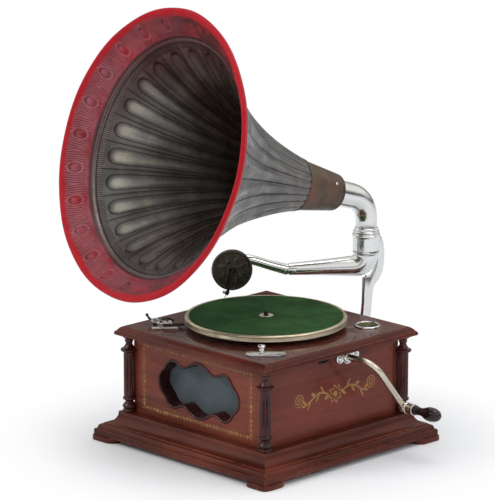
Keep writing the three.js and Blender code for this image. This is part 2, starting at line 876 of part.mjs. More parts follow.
function governorGeometry() {
  const shaft = post(governorShaft, governorStart, governorEnd, 8);
  const worm = turned([
    [0, -wormHalf], [wormRadius, -wormHalf], [wormRadius, -wormHalf * 0.4], [wormRadius * 0.8, 0],
    [wormRadius, wormHalf * 0.4], [wormRadius, wormHalf], [0, wormHalf],
  ], 8);
  const collarRadius = leafRoot * 1.2;
  const collars = [leafStart, leafEnd - governorPost].map((x) => post(
    collarRadius, x, x + governorPost, 8,
  ));
  const disc = post(brakeDisc, brakeDiscX, brakeDiscX + brakeDiscThick, 12);
  const middle = (leafStart + leafEnd) / 2;
  const crest = 2 * (flyReach + leafThick) - leafRoot;
  const bow = new THREE.Shape();
  bow.moveTo(leafStart, leafRoot);
  bow.quadraticCurveTo(middle, crest, leafEnd, leafRoot);
  bow.lineTo(leafEnd - leafThick, leafRoot - leafThick);
  bow.quadraticCurveTo(middle, crest - 2.5 * leafThick, leafStart + leafThick, leafRoot - leafThick);
  const leaves = [0, 1, 2].flatMap((i) => {
    const leaf = slab(bow, -leafWidth / 2, leafWidth, 3).rotateZ(-Math.PI / 2).rotateX(-Math.PI / 2);
    const half = flyWeight * 0.85;
    const weight = post(flyWeight, middle - half, middle + half, 8).translate(flyReach, 0, 0);
    return [leaf, weight].map((part) => part.rotateZ((2 * Math.PI * i) / 3));
  });
  const whole = join(shaft, worm, disc, ...collars, ...leaves);
  return alongX(whole).translate(0, governorY, governorZ);
}

function leverGeometry() {
  const bottom = bedplateZ - leverDrop;
  const knob = knobCentre();
  const padX = brakeDiscX + brakeDiscThick + runningGap;
  const tailY = governorY - 11;
  const knobEndX = knob.x - knobStem - 4;
  const arm = polygon([
    [padX, tailY], [leverPivotX - 5, leverPivotY - 2], [knobEndX - 6, knob.y - 3],
    [knobEndX, knob.y - 3], [knobEndX, knob.y + 5], [leverPivotX + 5, leverPivotY + 2],
    [padX + 5, tailY + 6], [padX, tailY + 6],
  ]);
  const tail = box(padX, tailY, governorZ - 4, padX + 4, tailY + 6, bottom + 1);
  const hole = postAt(leverPivotX, leverPivotY, leverPost + gap, bottom - 1, bottom + leverThick + 1);
  return cut(join(slab(arm, bottom, leverThick), tail), hole);
}

function crankShaftGeometry() {
  const inner = barrelX + crownRadius - crankPinionLength;
  const outer = caseHalf - 2;
  const shaft = post(crankRadius, inner, outer);
  const pinion = toothed(crankPinion, 1.2, 8, inner, crankPinionLength);
  return alongX(join(shaft, pinion)).translate(0, barrelY, crankZ);
}

function addMotor() {
  piece('bedplate', bedplateGeometry(), iron);
  piece('lower_plate', lowerPlateGeometry(), iron);
  piece('spring_barrel', barrelGeometry(), brass);
  piece('winding_arbor', arborGeometry(), steel);
  piece('intermediate_wheel', intermediateGeometry(), brass);
  piece('spindle', spindleGeometry(), steel);
  piece('governor', governorGeometry(), brass);
  piece('speed_lever', leverGeometry(), steel);
  piece('crank_shaft', crankShaftGeometry(), steel);
}

// ---------------------------------------------------------------- turntable

function addTurntable() {
  const bore = spindleRadius + gap;
  const underside = platterTop - platterWeb;
  piece('turntable', turned([
    [bore, underside],
    [platterRadius - 5, underside],
    [platterRadius - 2.5, underside - 2],
    [platterRadius - 2.5, rimFoot],
    [platterRadius, rimFoot],
    [platterRadius, platterTop - 1.5],
    [platterRadius - 2, platterTop],
    [bore, platterTop],
  ], platterSides), dullNickel);
  const feltFoot = platterTop + gap;
  const feltBore = roundFlats(washerRadius + gap, platterSides);
  piece('turntable_felt', turned([
    [feltBore, feltFoot], [feltRadius, feltFoot], [feltRadius, feltTop], [feltBore, feltTop],
  ], platterSides), greenFelt);
  piece('spindle_washer', turned([
    [bore, feltFoot],
    [washerRadius, feltFoot],
    [washerRadius, feltTop - feltThick / 2],
    [washerRadius - 1, feltTop],
    [bore, feltTop],
  ], platterSides), nickel);
}

// ---------------------------------------------------------------- winding crank

function crankArmGeometry() {
  const slope = crankSlope * degree;
  const down = new THREE.Vector3(0, Math.cos(slope), -Math.sin(slope));
  const out = new THREE.Vector3(1, 0, 0);
  const bendStart = new THREE.Vector3(crankRun, 0, 0);
  const centre = bendStart.clone().addScaledVector(down, crankBend);
  const start = new THREE.Vector3(caseHalf - 2 + gap, 0, 0);
  const bend = new Arc(
    centre, down.clone().multiplyScalar(-crankBend), out.clone().multiplyScalar(crankBend), Math.PI / 2,
  );
  const bendEnd = centre.clone().addScaledVector(out, crankBend);
  const eye = new THREE.Vector3(crankRun + crankBend, 0, 0).addScaledVector(down, crankThrow);
  const path = pathOf(straight(start, bendStart), bend, straight(bendEnd, eye));
  const length = path.getLength();
  const run = crankRun - start.x;
  const bendLength = crankBend * Math.PI / 2;
  const armRod = crankRadius - 0.2;
  const stations = [
    [0, crankRadius],
    ...evenStations(run, run + bendLength, 6, () => crankRadius),
    [run + bendLength + 4, armRod],
    [length, armRod],
  ];
  const rod = sweptBar(path, stations, 10);
  const eyeDisc = alongX(turned([
    [0, -eyeThick / 2], [eyeRadius - 1, -eyeThick / 2], [eyeRadius, -eyeThick / 2 + 1],
    [eyeRadius, eyeThick / 2 - 1], [eyeRadius - 1, eyeThick / 2], [0, eyeThick / 2],
  ], 16)).translate(eye.x, eye.y, eye.z);
  const pinLength = eyeThick / 2 + gap + ferruleLength + handleLength * 0.6;
  const pin = alongX(post(handlePin, 0, pinLength, 12)).translate(eye.x, eye.y, eye.z);
  return { geometry: join(rod, eyeDisc, pin), eye, pinEnd: pinLength };
}

function handleProfile(bore, boreDepth) {
  const neckAt = 14;
  const bulbAt = 32;
  const steps = 3;
  const round = [];
  for (let i = 0; i <= steps; i += 1) {
    const angle = (Math.PI / 2) * (i / steps);
    const z = bulbAt + (handleLength - bulbAt) * Math.sin(angle);
    round.push([i === steps ? 0 : handleBulb * Math.cos(angle), z]);
  }
  return [
    [0, boreDepth],
    [bore, boreDepth],
    [bore, 0],
    [ferruleRadius - 1.3, 0],
    [ferruleRadius - 1.6, 5],
    [handleNeck, neckAt],
    [handleNeck + 2.3, neckAt + 7],
    [handleBulb - 1, bulbAt - 6],
    ...round,
  ];
}

function addCrank() {
  const axis = new THREE.Group();
  axis.position.set(0, barrelY, crankZ);
  model.add(axis);

  const { geometry, eye, pinEnd } = crankArmGeometry();
  piece('crank_arm', geometry, nickel, axis);

  const grip = new THREE.Group();
  grip.position.copy(eye);
  grip.rotation.y = Math.PI / 2;
  axis.add(grip);
  const bore = handlePin + runningGap;
  const ferruleFoot = eyeThick / 2 + gap;
  const ferruleTop = ferruleFoot + ferruleLength;
  piece('crank_ferrule', turned([
    [bore, ferruleFoot],
    [ferruleRadius - 1, ferruleFoot],
    [ferruleRadius, ferruleFoot + 2],
    [ferruleRadius, ferruleTop - 2],
    [ferruleRadius - 0.8, ferruleTop],
    [bore, ferruleTop],
  ], 18), nickel, grip);
  const handleFoot = ferruleTop + gap;
  const boreDepth = pinEnd - handleFoot + runningGap;
  const handle = piece('crank_handle', turned(handleProfile(bore, boreDepth), 18), darkWood, grip);
  handle.position.z = handleFoot;

  const face = caseHalf + gap;
  const disc = (radius, y, thick) => alongX(post(radius, face, face + thick, 16)).translate(0, y, 0);
  const plate = join(
    disc(escutcheonRadius, 0, escutcheonThick),
    disc(escutcheonLobe, escutcheonReach, escutcheonThick),
    disc(escutcheonLobe, -escutcheonReach, escutcheonThick),
    disc(bossRadius, 0, bossProud),
  );
  const hole = alongX(post(crankRadius + gap, face - 1, face + bossProud + 1, 16));
  piece('escutcheon', cut(plate, hole), nickel, axis);
}

function addSideHook() {
  const face = caseHalf + gap;
  const plate = box(
    face, hookY - hookHalf, hookZ - hookPlateHalf, face + hookPlateHalf * 0.6, hookY + hookHalf,
    hookZ + hookPlateHalf,
  );
  const start = new THREE.Vector3(face + hookPlateHalf * 0.4, hookY - hookHalf / 2, hookZ);
  const elbow = new THREE.Vector3(face + hookReach, hookY - hookHalf / 2, hookZ);
  const tip = new THREE.Vector3(face + hookReach, hookY + hookHalf / 2, hookZ + hookPlateHalf);
  const path = new THREE.CatmullRomCurve3([start, elbow, tip]);
  const length = path.getLength();
  const wire = sweptBar(path, evenStations(0, length, 6, () => hookWire), 6);
  piece('side_hook', join(plate, wire), darkHardware);
}

// ---------------------------------------------------------------- deck fittings

function addSpeedControl() {
  const plateGroup = new THREE.Group();
  plateGroup.position.set(speedPlateAt, -speedPlateAt, deckTop + gap);
  plateGroup.rotation.z = Math.PI / 4;
  model.add(plateGroup);
  const [x, y, c] = [speedPlateLength / 2, speedPlateWidth / 2, speedPlateCorner];
  const octagon = polygon([
    [x, y - c], [x - c, y], [c - x, y], [-x, y - c], [-x, c - y], [c - x, -y], [x - c, -y], [x, c - y],
  ]);
  const hole = postAt(-knobShift, 0, knobStem + gap, -1, speedPlateThick + 1);
  const recess = postAt(-knobShift, 0, knobRadius + 1.5, speedPlateThick - 1, speedPlateThick + 1, 16);
  piece('speed_plate', cut(slab(octagon, 0, speedPlateThick), hole, recess), nickel, plateGroup);

  const knob = knobCentre();
  const top = deckTop + knobTop;
  const foot = bedplateZ - leverDrop;
  const knobFoot = top - knobHeight;
  const mesh = piece('speed_knob', turned([
    [0, foot], [knobStem, foot], [knobStem, knobFoot], [knobRadius - 1, knobFoot],
    [knobRadius, knobFoot + 1], [knobRadius, top - 1], [knobRadius - 1, top], [0, top],
  ], 16), nickel);
  mesh.position.set(knob.x, knob.y, 0);
}

function addNeedleCup() {
  const body = cupBore + cupWall;
  const flange = deckTop + gap;
  const foot = deckTop - cupDepth;
  const cup = piece('needle_cup', turned([
    [0, foot],
    [body, foot],
    [body, flange],
    [cupRadius, flange],
    [cupRadius, flange + 1.2],
    [cupRadius - 1.5, flange + cupProud],
    [cupBore, flange + cupProud - 0.4],
    [cupBore, foot + cupWall],
    [0, foot + cupWall],
  ], cupSides), nickel);
  cup.position.set(cupX, cupY, 0);
}

// The brake stands on its own plate: u runs along the plate, v across it.
const brakePivot = new THREE.Vector2(-17, 7);
const brakeScrews = [new THREE.Vector2(-2, -1.5), new THREE.Vector2(6.4, -1.5)];
const brakePadThick = 3.5;

function brakePadLength() {
  return Math.hypot(brakeX, brakeY) - platterRadius - runningGap;
}

function brakeBladeGeometry(bottom) {
  const half = brakeBladeWidth / 2;
  const [pivotU, pivotV] = [brakePivot.x, brakePivot.y];
  const blade = polygon([
    [pivotU - 1.5, pivotV + 2 * half + 0.5],
    [pivotU - half - 2, pivotV + 2 * half - 1],
    [pivotU - half - 1, pivotV - 2],
    [pivotU + 1, pivotV - half - 1],
    [brakeScrews[0].x - 4, -half - 1.5],
    [brakeScrews[1].x + half, -half - 1.5],
    [brakeScrews[1].x + half, half - 1.5],
    [brakeScrews[0].x - 2, half],
    [pivotU + half + 0.5, pivotV + 2],
  ]);
  const finger = new THREE.Vector3(pivotU - 3.5, pivotV + 6.5, bottom + brakeBladeThick / 2);
  const handle = new THREE.CatmullRomCurve3([
    finger,
    finger.clone().add(new THREE.Vector3(-3, 6, 0.5)),
    finger.clone().add(new THREE.Vector3(-6, 12, 2)),
    finger.clone().add(new THREE.Vector3(-8, 16, 5)),
  ]);
  const length = handle.getLength();
  const rod = sweptBar(handle, evenStations(0, length, 6, (at) => 2.2 - 0.6 * (at / length)), 8);
  const holes = [brakePivot, ...brakeScrews].map((spot) => postAt(
    spot.x, spot.y, 1.5 + gap, bottom - 1, bottom + brakeBladeThick + 1,
  ));
  return cut(join(slab(blade, bottom, brakeBladeThick), rod), ...holes);
}

function domeScrew(shankFoot, headFoot, radius) {
  return turned([
    [0, shankFoot],
    [1.5, shankFoot],
    [1.5, headFoot],
    [radius, headFoot],
    [radius * 0.8, headFoot + radius * 0.45],
    [radius * 0.35, headFoot + radius * 0.65],
    [0, headFoot + radius * 0.65],
  ], 12);
}

function addBrake() {
  const brake = new THREE.Group();
  brake.position.set(brakeX, brakeY, deckTop + gap);
  brake.rotation.z = Math.atan2(-brakeY, -brakeX);
  model.add(brake);

  const [x, y] = [brakeBaseLength / 2, brakeBaseWidth / 2];
  const base = slab(roundedRectangle(-x, -y, x, y, 4), 0, brakeBaseThick, 3);
  const pivotHole = postAt(brakePivot.x, brakePivot.y, 1.5 + gap, -1, brakeBaseThick + 1);
  piece('brake_base', cut(base, pivotHole), nickel, brake);

  const padFoot = brakeBaseThick + gap;
  const bladeFoot = padFoot + brakePadThick + gap;
  const padReach = brakePadLength();
  const pad = polygon([
    [brakeScrews[0].x - 3, -5], [brakeScrews[1].x + 8, -5], [padReach, -4.5],
    [padReach, 3.5], [brakeScrews[1].x + 6, 2], [brakeScrews[0].x - 3, 2],
  ]);
  const screwHoles = brakeScrews.map((spot) => postAt(
    spot.x, spot.y, 1.5 + gap, padFoot - 1, bladeFoot,
  ));
  piece('brake_pad', cut(slab(pad, padFoot, brakePadThick), ...screwHoles), leather, brake);
  piece('brake_lever', brakeBladeGeometry(bladeFoot), nickel, brake);

  const headFoot = bladeFoot + brakeBladeThick + gap;
  brakeScrews.forEach((spot, i) => {
    const dome = domeScrew(padFoot + 1, headFoot, domeRadius);
    const screw = piece(`brake_screw_${i + 1}`, dome, nickel, brake);
    screw.position.set(spot.x, spot.y, 0);
  });
  const spacerFoot = brakeBaseThick + gap;
  const spacerTop = bladeFoot - gap;
  const pivot = join(
    domeScrew(0, headFoot, domeRadius + 0.8),
    post(domeRadius, spacerFoot, spacerTop),
  );
  const pivotMesh = piece('brake_pivot', pivot, darkHardware, brake);
  pivotMesh.position.set(brakePivot.x, brakePivot.y, 0);
}

// ---------------------------------------------------------------- bracket

function bracketScrews() {
  const inset = 12;
  const z = [backPlateFoot + inset, backPlateFoot + backPlateHeight - inset];
  return z.map((height, i) => ({ x: (i ? 1 : -1) * (backPlateWidth / 2 - inset), z: height }));
}

const bracketScrewShank = 2.2;

function bracketScrewHole({ x, z }) {
  const reach = alongY(post(bracketScrewShank + gap, wallInner + 2, caseHalf + backPlateThick + 2, 12));
  return reach.translate(x, 0, z);
}

// The bracket's side view in the plane of Y and Z: a swan neck from the back plate to the sleeve.
function webShape() {
  const plateFace = caseHalf + gap + backPlateThick - 1;
  const plateTop = backPlateFoot + backPlateHeight;
  const throat = webThroat;
  const back = pivotY + webBack;
  const inside = sleeveRadius + pivotY;
  const shape = new THREE.Shape();
  shape.moveTo(plateFace, backPlateFoot + 6);
  shape.quadraticCurveTo(pivotY - 8, backPlateFoot + 24, pivotY + throat, webBelow - 62);
  shape.lineTo(pivotY + 12, webBelow - 40);
  shape.quadraticCurveTo(pivotY + 14, webBelow - 16, pivotY + 22, webBelow - 12);
  shape.quadraticCurveTo(back, webBelow - 2, back, sleeveFoot - 12);
  shape.quadraticCurveTo(back, sleeveTop - 10, inside + 2, sleeveTop - 6);
  shape.lineTo(inside - 3, sleeveTop - 6);
  shape.lineTo(inside - 3, sleeveFoot + 2);
  shape.quadraticCurveTo(inside + 6, sleeveFoot - 8, inside + 1, sleeveFoot - 22);
  shape.quadraticCurveTo(inside - 8, webBelow + 1, pivotY + throat - 2, webBelow);
  shape.lineTo(pivotY - 6, webBelow);
  shape.lineTo(pivotY - 7, webBelow - 40);
  shape.lineTo(pivotY - throat + 1, webBelow - 58);
  shape.quadraticCurveTo(pivotY - 16, plateTop - 20, plateFace, plateTop - 22);
  return shape;
}

function addBracket() {
  // local +Z of the slab becomes +X, its X becomes Y and its Y becomes Z
  const web = slab(webShape(), -webThick / 2, webThick, 4);
  web.rotateX(Math.PI / 2).rotateZ(Math.PI / 2);
  const sleeveCore = sleeveBore / 2; // the bore is cut through it below
  const sleeve = turned([
    [sleeveCore, sleeveFoot],
    [sleeveRadius - 1, sleeveFoot],
    [sleeveRadius, sleeveFoot + 1.5],
    [sleeveRadius, sleeveTop - 1.5],
    [sleeveRadius - 1, sleeveTop],
    [sleeveCore, sleeveTop],
  ], sleeveSides).translate(0, pivotY, 0);
  const face = caseHalf + gap;
  const plateHalf = backPlateWidth / 2;
  const outline = roundedRectangle(
    -plateHalf, backPlateFoot, plateHalf, backPlateFoot + backPlateHeight, backPlateCorner,
  );
  const plate = slab(outline, 0, backPlateThick).rotateX(Math.PI / 2);
  plate.translate(0, face + backPlateThick, 0);
  const body = join(web, sleeve, plate);
  const slotTop = webBelow - slotCover;
  const slot = box(
    -webThick, pivotY - slotWidth / 2, slotTop - slotHeight, webThick, pivotY + slotWidth / 2, slotTop,
  );
  const screwWay = postAt(0, pivotY, pivotScrewRadius + gap, slotTop - 1, webBelow + 1, 12);
  const bore = roundFlats(sleeveBore, sleeveSides);
  const throughSleeve = postAt(0, pivotY, bore, sleeveFoot - 1, sleeveTop + 1, sleeveSides);
  piece('bracket', cut(
    body, slot, screwWay, throughSleeve, ...bracketScrews().map(bracketScrewHole),
  ), nickel);

  bracketScrews().forEach(({ x, z }, i) => {
    const headFoot = backPlateThick + gap;
    const screw = piece(`bracket_screw_${i + 1}`, turned([
      [0, -panelThick + 4],
      [bracketScrewShank, -panelThick + 5],
      [bracketScrewShank, headFoot],
      [5, headFoot],
      [4.2, headFoot + 2],
      [2, headFoot + 3],
      [0, headFoot + 3],
    ], 12), nickel);
    screw.rotation.x = -Math.PI / 2;
    screw.position.set(x, face, z);
  });

  const armFoot = armZ - armBendEnd;
  const screwTop = armFoot - gap;
  piece('pivot_screw', turned([
    [0, slotTop - slotHeight + 2],
    [pivotScrewRadius, slotTop - slotHeight + 2],
    [pivotScrewRadius, screwTop - 1],
    [0.8, screwTop],
    [0, screwTop],
  ], 12).translate(0, pivotY, 0), steel);
}

// ---------------------------------------------------------------- tone arm

// The level tube tapers from the bend to the hinge.
function armRadiusAt(along) {
  const share = Math.max(0, along - armBend) / (kinkAt - armBend);
  return kinkRadius + (armLevel - kinkRadius) * (1 - share) ** 1.25;
}

function armPath() {
  const top = new THREE.Vector3(0, 0, armNeckTop);
  const bendTop = new THREE.Vector3(0, 0, armZ + armBend);
  const centre = new THREE.Vector3(armBend, 0, armZ + armBend);
  const from = new THREE.Vector3(-armBend, 0, 0);
  const towards = new THREE.Vector3(0, 0, -armBend);
  const bend = new Arc(centre, from, towards, Math.PI / 2);
  const bendEnd = new THREE.Vector3(armBend, 0, armZ);
  const end = new THREE.Vector3(kinkAt, 0, armZ);
  return pathOf(straight(top, bendTop), bend, straight(bendEnd, end));
}

function toneArmGeometry() {
  const path = armPath();
  const spigot = sleeveBore - gap;
  const drop = armNeckTop - armZ - armBend;
  const shoulder = armNeckTop - sleeveFoot + gap;
  const bend = armBend * Math.PI / 2;
  const lip = kinkAt - 4.3;
  const stations = [
    [0, spigot],
    [shoulder, spigot],
    [shoulder, armRadius],
    ...evenStations(drop + 2, drop + bend, 7, (at) => {
      const share = (at - drop) / bend;
      return armRadius + (armLevel - armRadius) * share ** 2;
    }),
    ...[0.12, 0.3, 0.5, 0.72, 1].map((share) => {
      const along = armBend + (lip - armBend) * share;
      return [drop + bend + along - armBend, armRadiusAt(along)];
    }),
  ];
  const outer = sweptBar(path, stations, 14);
  const bore = sweptBar(path, stations.map(([at, radius]) => (
    [at, Math.min(radius, spigot) - armWall]
  )), 8);
  const openTop = post(spigot - armWall, armNeckTop - 1, armNeckTop + 1);
  const ball = new THREE.SphereGeometry(socketRadius, 12, 8).translate(kinkAt, 0, armZ);
  const ears = [socketRadius, -socketRadius - earThick].map((near) => {
    const root = box(
      kinkAt - earLength, near, armZ - earWidth / 2, kinkAt, near + earThick, armZ + earWidth / 2,
    );
    const tip = alongY(post(earWidth / 2, 0, earThick, 14)).translate(kinkAt, near, armZ);
    return join(root, tip);
  });
  const pinReach = socketRadius + 2 * earThick;
  const pinHole = alongY(post(hingePin + gap, -pinReach, pinReach, 12)).translate(kinkAt, 0, armZ);
  return cut(join(outer, ...ears), bore, openTop, ball, pinHole);
}

// The front section: from the ball up and over, then sideways into the sound box's back.
function neckGeometry() {
  const endY = boxBack - gap;
  const reach = boxAt - kinkAt;
  // shares of the reach, of the way out to the box and of the crest's height
  const shares = [
    [0, 0, 0], [0.155, 0, 0.222], [0.329, 0, 0.479], [0.553, 0, 0.845], [0.712, -0.105, 1],
    [0.867, -0.596, 0.742], [0.976, 0.281, 0.418],
  ];
  const path = new THREE.CatmullRomCurve3([
    ...shares.map(([along, out, up]) => new THREE.Vector3(along * reach, out * endY, up * neckCrest)),
    new THREE.Vector3(reach, endY, boxRise),
  ], false, 'catmullrom', 0.5);
  const length = path.getLength();
  const radiusAt = (at) => neckRadius + neckSwell * Math.max(0, 1 - (3 * at) / reach);
  const outer = sweptBar(path, evenStations(0, length, 12, radiusAt), 12);
  const bore = sweptBar(path, evenStations(0, length, 8, () => neckBore), 8);
  const ball = new THREE.SphereGeometry(kinkBall, 12, 8);
  const openBack = alongX(post(neckBore, -kinkBall - 1, 2, 8));
  const openFront = alongY(post(neckBore, endY - 1, endY + 1, 8));
  openFront.translate(reach, 0, boxRise);
  const pinHole = alongY(post(hingePin + gap, -kinkBall - 1, kinkBall + 1, 12));
  const flat = box(reach / 2, endY, -reach, 2 * reach, endY + 3 * neckRadius, reach);
  return cut(join(outer, ball), bore, openBack, openFront, pinHole, flat);
}

function addSoundBox(parent) {
  // local +Z points out of the front cover, local +Y points down
  const soundBox = new THREE.Group();
  soundBox.position.set(boxAt - kinkAt, boxBack, boxRise);
  soundBox.rotation.x = -Math.PI / 2;
  parent.add(soundBox);

  const split = 0.58 * boxThick;
  const seat = boxRadius - 3;
  const ledge = boxRadius - 5.5;
  const ledgeZ = split - 2.6;
  piece('sound_box_back', turned([
    [neckBore, 0],
    [boxRadius - 2.5, 0],
    [boxRadius, 2],
    [boxRadius, split],
    [seat, split],
    [seat, ledgeZ],
    [ledge, ledgeZ],
    [ledge, 3],
    [neckBore, 3],
  ], boxSides), bronze, soundBox);
  const diaphragmZ = ledgeZ + gap;
  piece('diaphragm', post(seat - gap, diaphragmZ, diaphragmZ + diaphragmThick, boxSides), mica, soundBox);
  const clampZ = diaphragmZ + diaphragmThick + gap;
  const ring = turned([
    [ledge, clampZ],
    [seat - gap, clampZ],
    [seat - gap, split + gap],
    [boxRadius, split + gap],
    [boxRadius, boxThick - 1.6],
    [boxRadius - 1.6, boxThick],
    [ledge, boxThick],
  ], boxSides);
  const face = new THREE.Shape();
  face.absarc(0, 0, ledge + 1, 0, 2 * Math.PI);
  const eye = new THREE.Path();
  eye.absarc(0, 0, 6.5, 0, 2 * Math.PI);
  face.holes.push(eye);
  for (let i = 0; i < coverHoles; i += 1) {
    const angle = (2 * Math.PI * (i + 0.5)) / coverHoles;
    const hole = new THREE.Path();
    hole.absarc(
      coverHoleRing * Math.cos(angle), coverHoleRing * Math.sin(angle), coverHoleRadius, 0, 2 * Math.PI,
    );
    face.holes.push(hole);
  }
  const faceZ = boxThick - 3;
  piece('sound_box_cover', join(ring, slab(face, faceZ, 1.2, 4)), bronze, soundBox);

  const shift = stylusShift * degree;
  const holderStart = boxRadius + 1.3;
  const holder = new THREE.Group();
  holder.position.set(holderStart * Math.sin(shift), holderStart * Math.cos(shift), 0);
  holder.rotation.z = -stylusTilt * degree;
  soundBox.add(holder);
  const holderZ = boxThick - 0.6;
  const barFoot = boxThick + gap;
  const turn = (x, y) => {
    const c = Math.cos(-stylusTilt * degree);
    const s = Math.sin(-stylusTilt * degree);
    const [dx, dy] = [x - holder.position.x, y - holder.position.y];
    return [c * dx + s * dy, c * dy - s * dx];
  };
  const bar = polygon([turn(-2.2, -2), turn(2.2, -2), [1.9, 2.5], [-1.9, 2.5]]);
  const block = alongY(post(holderRadius, 0, holderLength)).translate(0, 0, holderZ);
  const stud = post(studRadius, diaphragmZ + diaphragmThick + gap, barFoot + 1, 10);
  const [studX, studY] = turn(0, 0);
  stud.translate(studX, studY, 0);
  const socket = alongY(post(needleRadius + gap / 2, holderLength - needleIn, holderLength + 1, 10));
  socket.translate(0, 0, holderZ);
  const screwWay = alongX(post(studRadius + gap / 2, needleRadius, holderRadius + 1, 10));
  screwWay.translate(0, holderLength - 2, holderZ);
  piece('stylus_bar', cut(
    join(slab(bar, barFoot, 1.8), block, stud), socket, screwWay,
  ), darkHardware, holder);

  const headFoot = holderRadius - gap;
  const headTop = holderRadius + studRadius + 2;
  const screw = turned([
    [0, 0], [studRadius, 0], [studRadius, headFoot], [screwHeadRadius, headFoot],
    [screwHeadRadius, headTop - 0.8], [screwHeadRadius - 1, headTop], [0, headTop],
  ], 12);
  const screwMesh = piece('needle_screw', screw, nickel, holder);
  screwMesh.rotation.y = Math.PI / 2;
  screwMesh.position.set(needleRadius + gap, holderLength - 2, holderZ);

  const needleTop = holderLength - needleIn + gap;
  const needleTip = holderLength + needleLength;
  const needle = turned([
    [0, needleTop], [needleRadius, needleTop], [needleRadius, needleTip - needlePoint],
    [needleRadius * 0.15, needleTip], [0, needleTip],
  ], 8);
  const needleMesh = piece('needle', needle, steel, holder);
  needleMesh.rotation.x = -Math.PI / 2;
  needleMesh.position.set(0, 0, holderZ);
}

function addToneArm() {
  const arm = new THREE.Group();
  arm.position.set(0, pivotY, 0);
  arm.rotation.z = -(90 + armAzimuth) * degree;
  model.add(arm);
  piece('tone_arm', toneArmGeometry(), nickel, arm);
  const pinHalf = socketRadius + earThick + 0.8;
  const pin = alongY(post(hingePin, -pinHalf, pinHalf, 12)).translate(kinkAt, 0, armZ);
  piece('neck_pin', pin, darkHardware, arm);

  const lifted = new THREE.Group();
  lifted.position.set(kinkAt, 0, armZ);
  arm.add(lifted);
  piece('neck', neckGeometry(), nickel, lifted);
  addSoundBox(lifted);
}

// ---------------------------------------------------------------- horn

function elbowGeometry() {
  // in the horn's own vertical plane: -Y towards the mouth
  const pitch = hornPitch * degree;
  const bendAngle = Math.PI / 2 - pitch;
  const tangent = elbowBend * Math.tan(bendAngle / 2);
  const foot = armNeckTop + 2 * gap;
  const up = new THREE.Vector3(0, 0, 1);
  const ahead = new THREE.Vector3(0, -Math.cos(pitch), Math.sin(pitch));
  const corner = new THREE.Vector3(0, 0, hornZ);
  const start = new THREE.Vector3(0, 0, foot);
  const bendStart = corner.clone().addScaledVector(up, -tangent);
  const bendEnd = corner.clone().addScaledVector(ahead, tangent);
  const centre = bendStart.clone().add(new THREE.Vector3(0, -elbowBend, 0));
  const from = new THREE.Vector3(0, elbowBend, 0);
  const towards = new THREE.Vector3(0, 0, elbowBend);
  const end = corner.clone().addScaledVector(ahead, elbowReach);
  const path = pathOf(
    straight(start, bendStart), new Arc(centre, from, towards, bendAngle), straight(bendEnd, end),
  );
  const rise = bendStart.z - foot;
  const bendLength = elbowBend * bendAngle;
  const spigot = sleeveBore - gap;
  const flangeFoot = sleeveTop + gap - foot;
  const fullAt = rise + bendLength + collarStart - tangent;
  const radiusAt = (at) => elbowFoot + (elbowEnd - elbowFoot) * ((at - rise) / (fullAt - rise));
  const stations = [
    [0, spigot],
    [flangeFoot, spigot],
    [flangeFoot, sleeveRadius - 2],
    [flangeFoot + 4, sleeveRadius - 2],
    [flangeFoot + 4, elbowFoot + 1],
    [flangeFoot + 9, elbowFoot + 1],
    [flangeFoot + 9.5, elbowFoot],
    ...evenStations(rise, rise + bendLength, 7, radiusAt),
    [fullAt, elbowEnd],
    [path.getLength(), elbowEnd],
  ];
  const outer = sweptBar(path, stations, 16);
  const bore = sweptBar(path, [
    [0, elbowFoot - hornWall],
    ...evenStations(rise, rise + bendLength, 5, (at) => radiusAt(at) - hornWall),
    [path.getLength(), elbowEnd - hornWall],
  ], 10);
  const openFoot = post(elbowFoot - hornWall, foot - 1, foot + 1);
  const openEnd = post(elbowEnd - hornWall, -1, 1).rotateX(Math.PI / 2 - pitch);
  openEnd.translate(end.x, end.y, end.z);
  return cut(outer, bore, openFoot, openEnd);
}

function bellRadius(share) {
  const grown = (Math.exp(bellFlare * share) - 1) / (Math.exp(bellFlare) - 1);
  return bellNeck + (bellMouth - rollRadius - bellNeck) * grown;
}

// A point of the bell's wall, moved off its middle line square to it.
function bellPoint(share, offset) {
  const step = 1e-4;
  const rise = ((bellRadius(share + step) - bellRadius(share - step)) / (2 * step)) / bellLength;
  const norm = Math.hypot(1, rise);
  return [bellRadius(share) + offset / norm, share * bellLength - (offset * rise) / norm];
}

function bellGeometry() {
  const shares = [0, 0.06, 0.22, 0.4, 0.58, 0.72, 0.79, 0.82, 0.91];
  const outer = shares.map((share) => bellPoint(share, hornWall / 2));
  const inner = shares.map((share) => bellPoint(share, -hornWall / 2)).reverse();
  const [mouth, mouthAt] = bellPoint(1, 0);
  const roll = [];
  const rollSteps = 4;
  for (let i = 0; i <= rollSteps; i += 1) {
    const angle = (-120 + (300 * i) / rollSteps) * degree;
    roll.push([mouth + rollRadius * Math.cos(angle), mouthAt + rollRadius * Math.sin(angle)]);
  }
  const profile = [...outer, ...roll, ...inner];
  const rows = profile.length + 1;
  const sides = 2 * hornFlutes;
  const geometry = turned(profile, sides);
  const position = geometry.attributes.position;
  const depths = shares.map((share) => (
    share > flutesEnd ? 0 : fluteDepth * Math.sin(Math.PI * (0.15 + share * 0.8))
  ));
  // one depth for each row of the profile, whose last row closes on its first
  const rowDepths = [...depths, ...roll.map(() => 0), ...[...depths].reverse(), depths[0]];
  for (let i = 0; i <= sides; i += 1) {
    const way = i % 2 ? 1 : -1; // creases straight down and every panel's width from there
    for (let row = 0; row < rows; row += 1) {
      const depth = rowDepths[row];
      const vertex = i * rows + row;
      const radius = Math.hypot(position.getX(vertex), position.getY(vertex));
      const grown = (radius + way * depth / 2) / radius;
      position.setX(vertex, position.getX(vertex) * grown);
      position.setY(vertex, position.getY(vertex) * grown);
    }
  }
  return geometry;
}

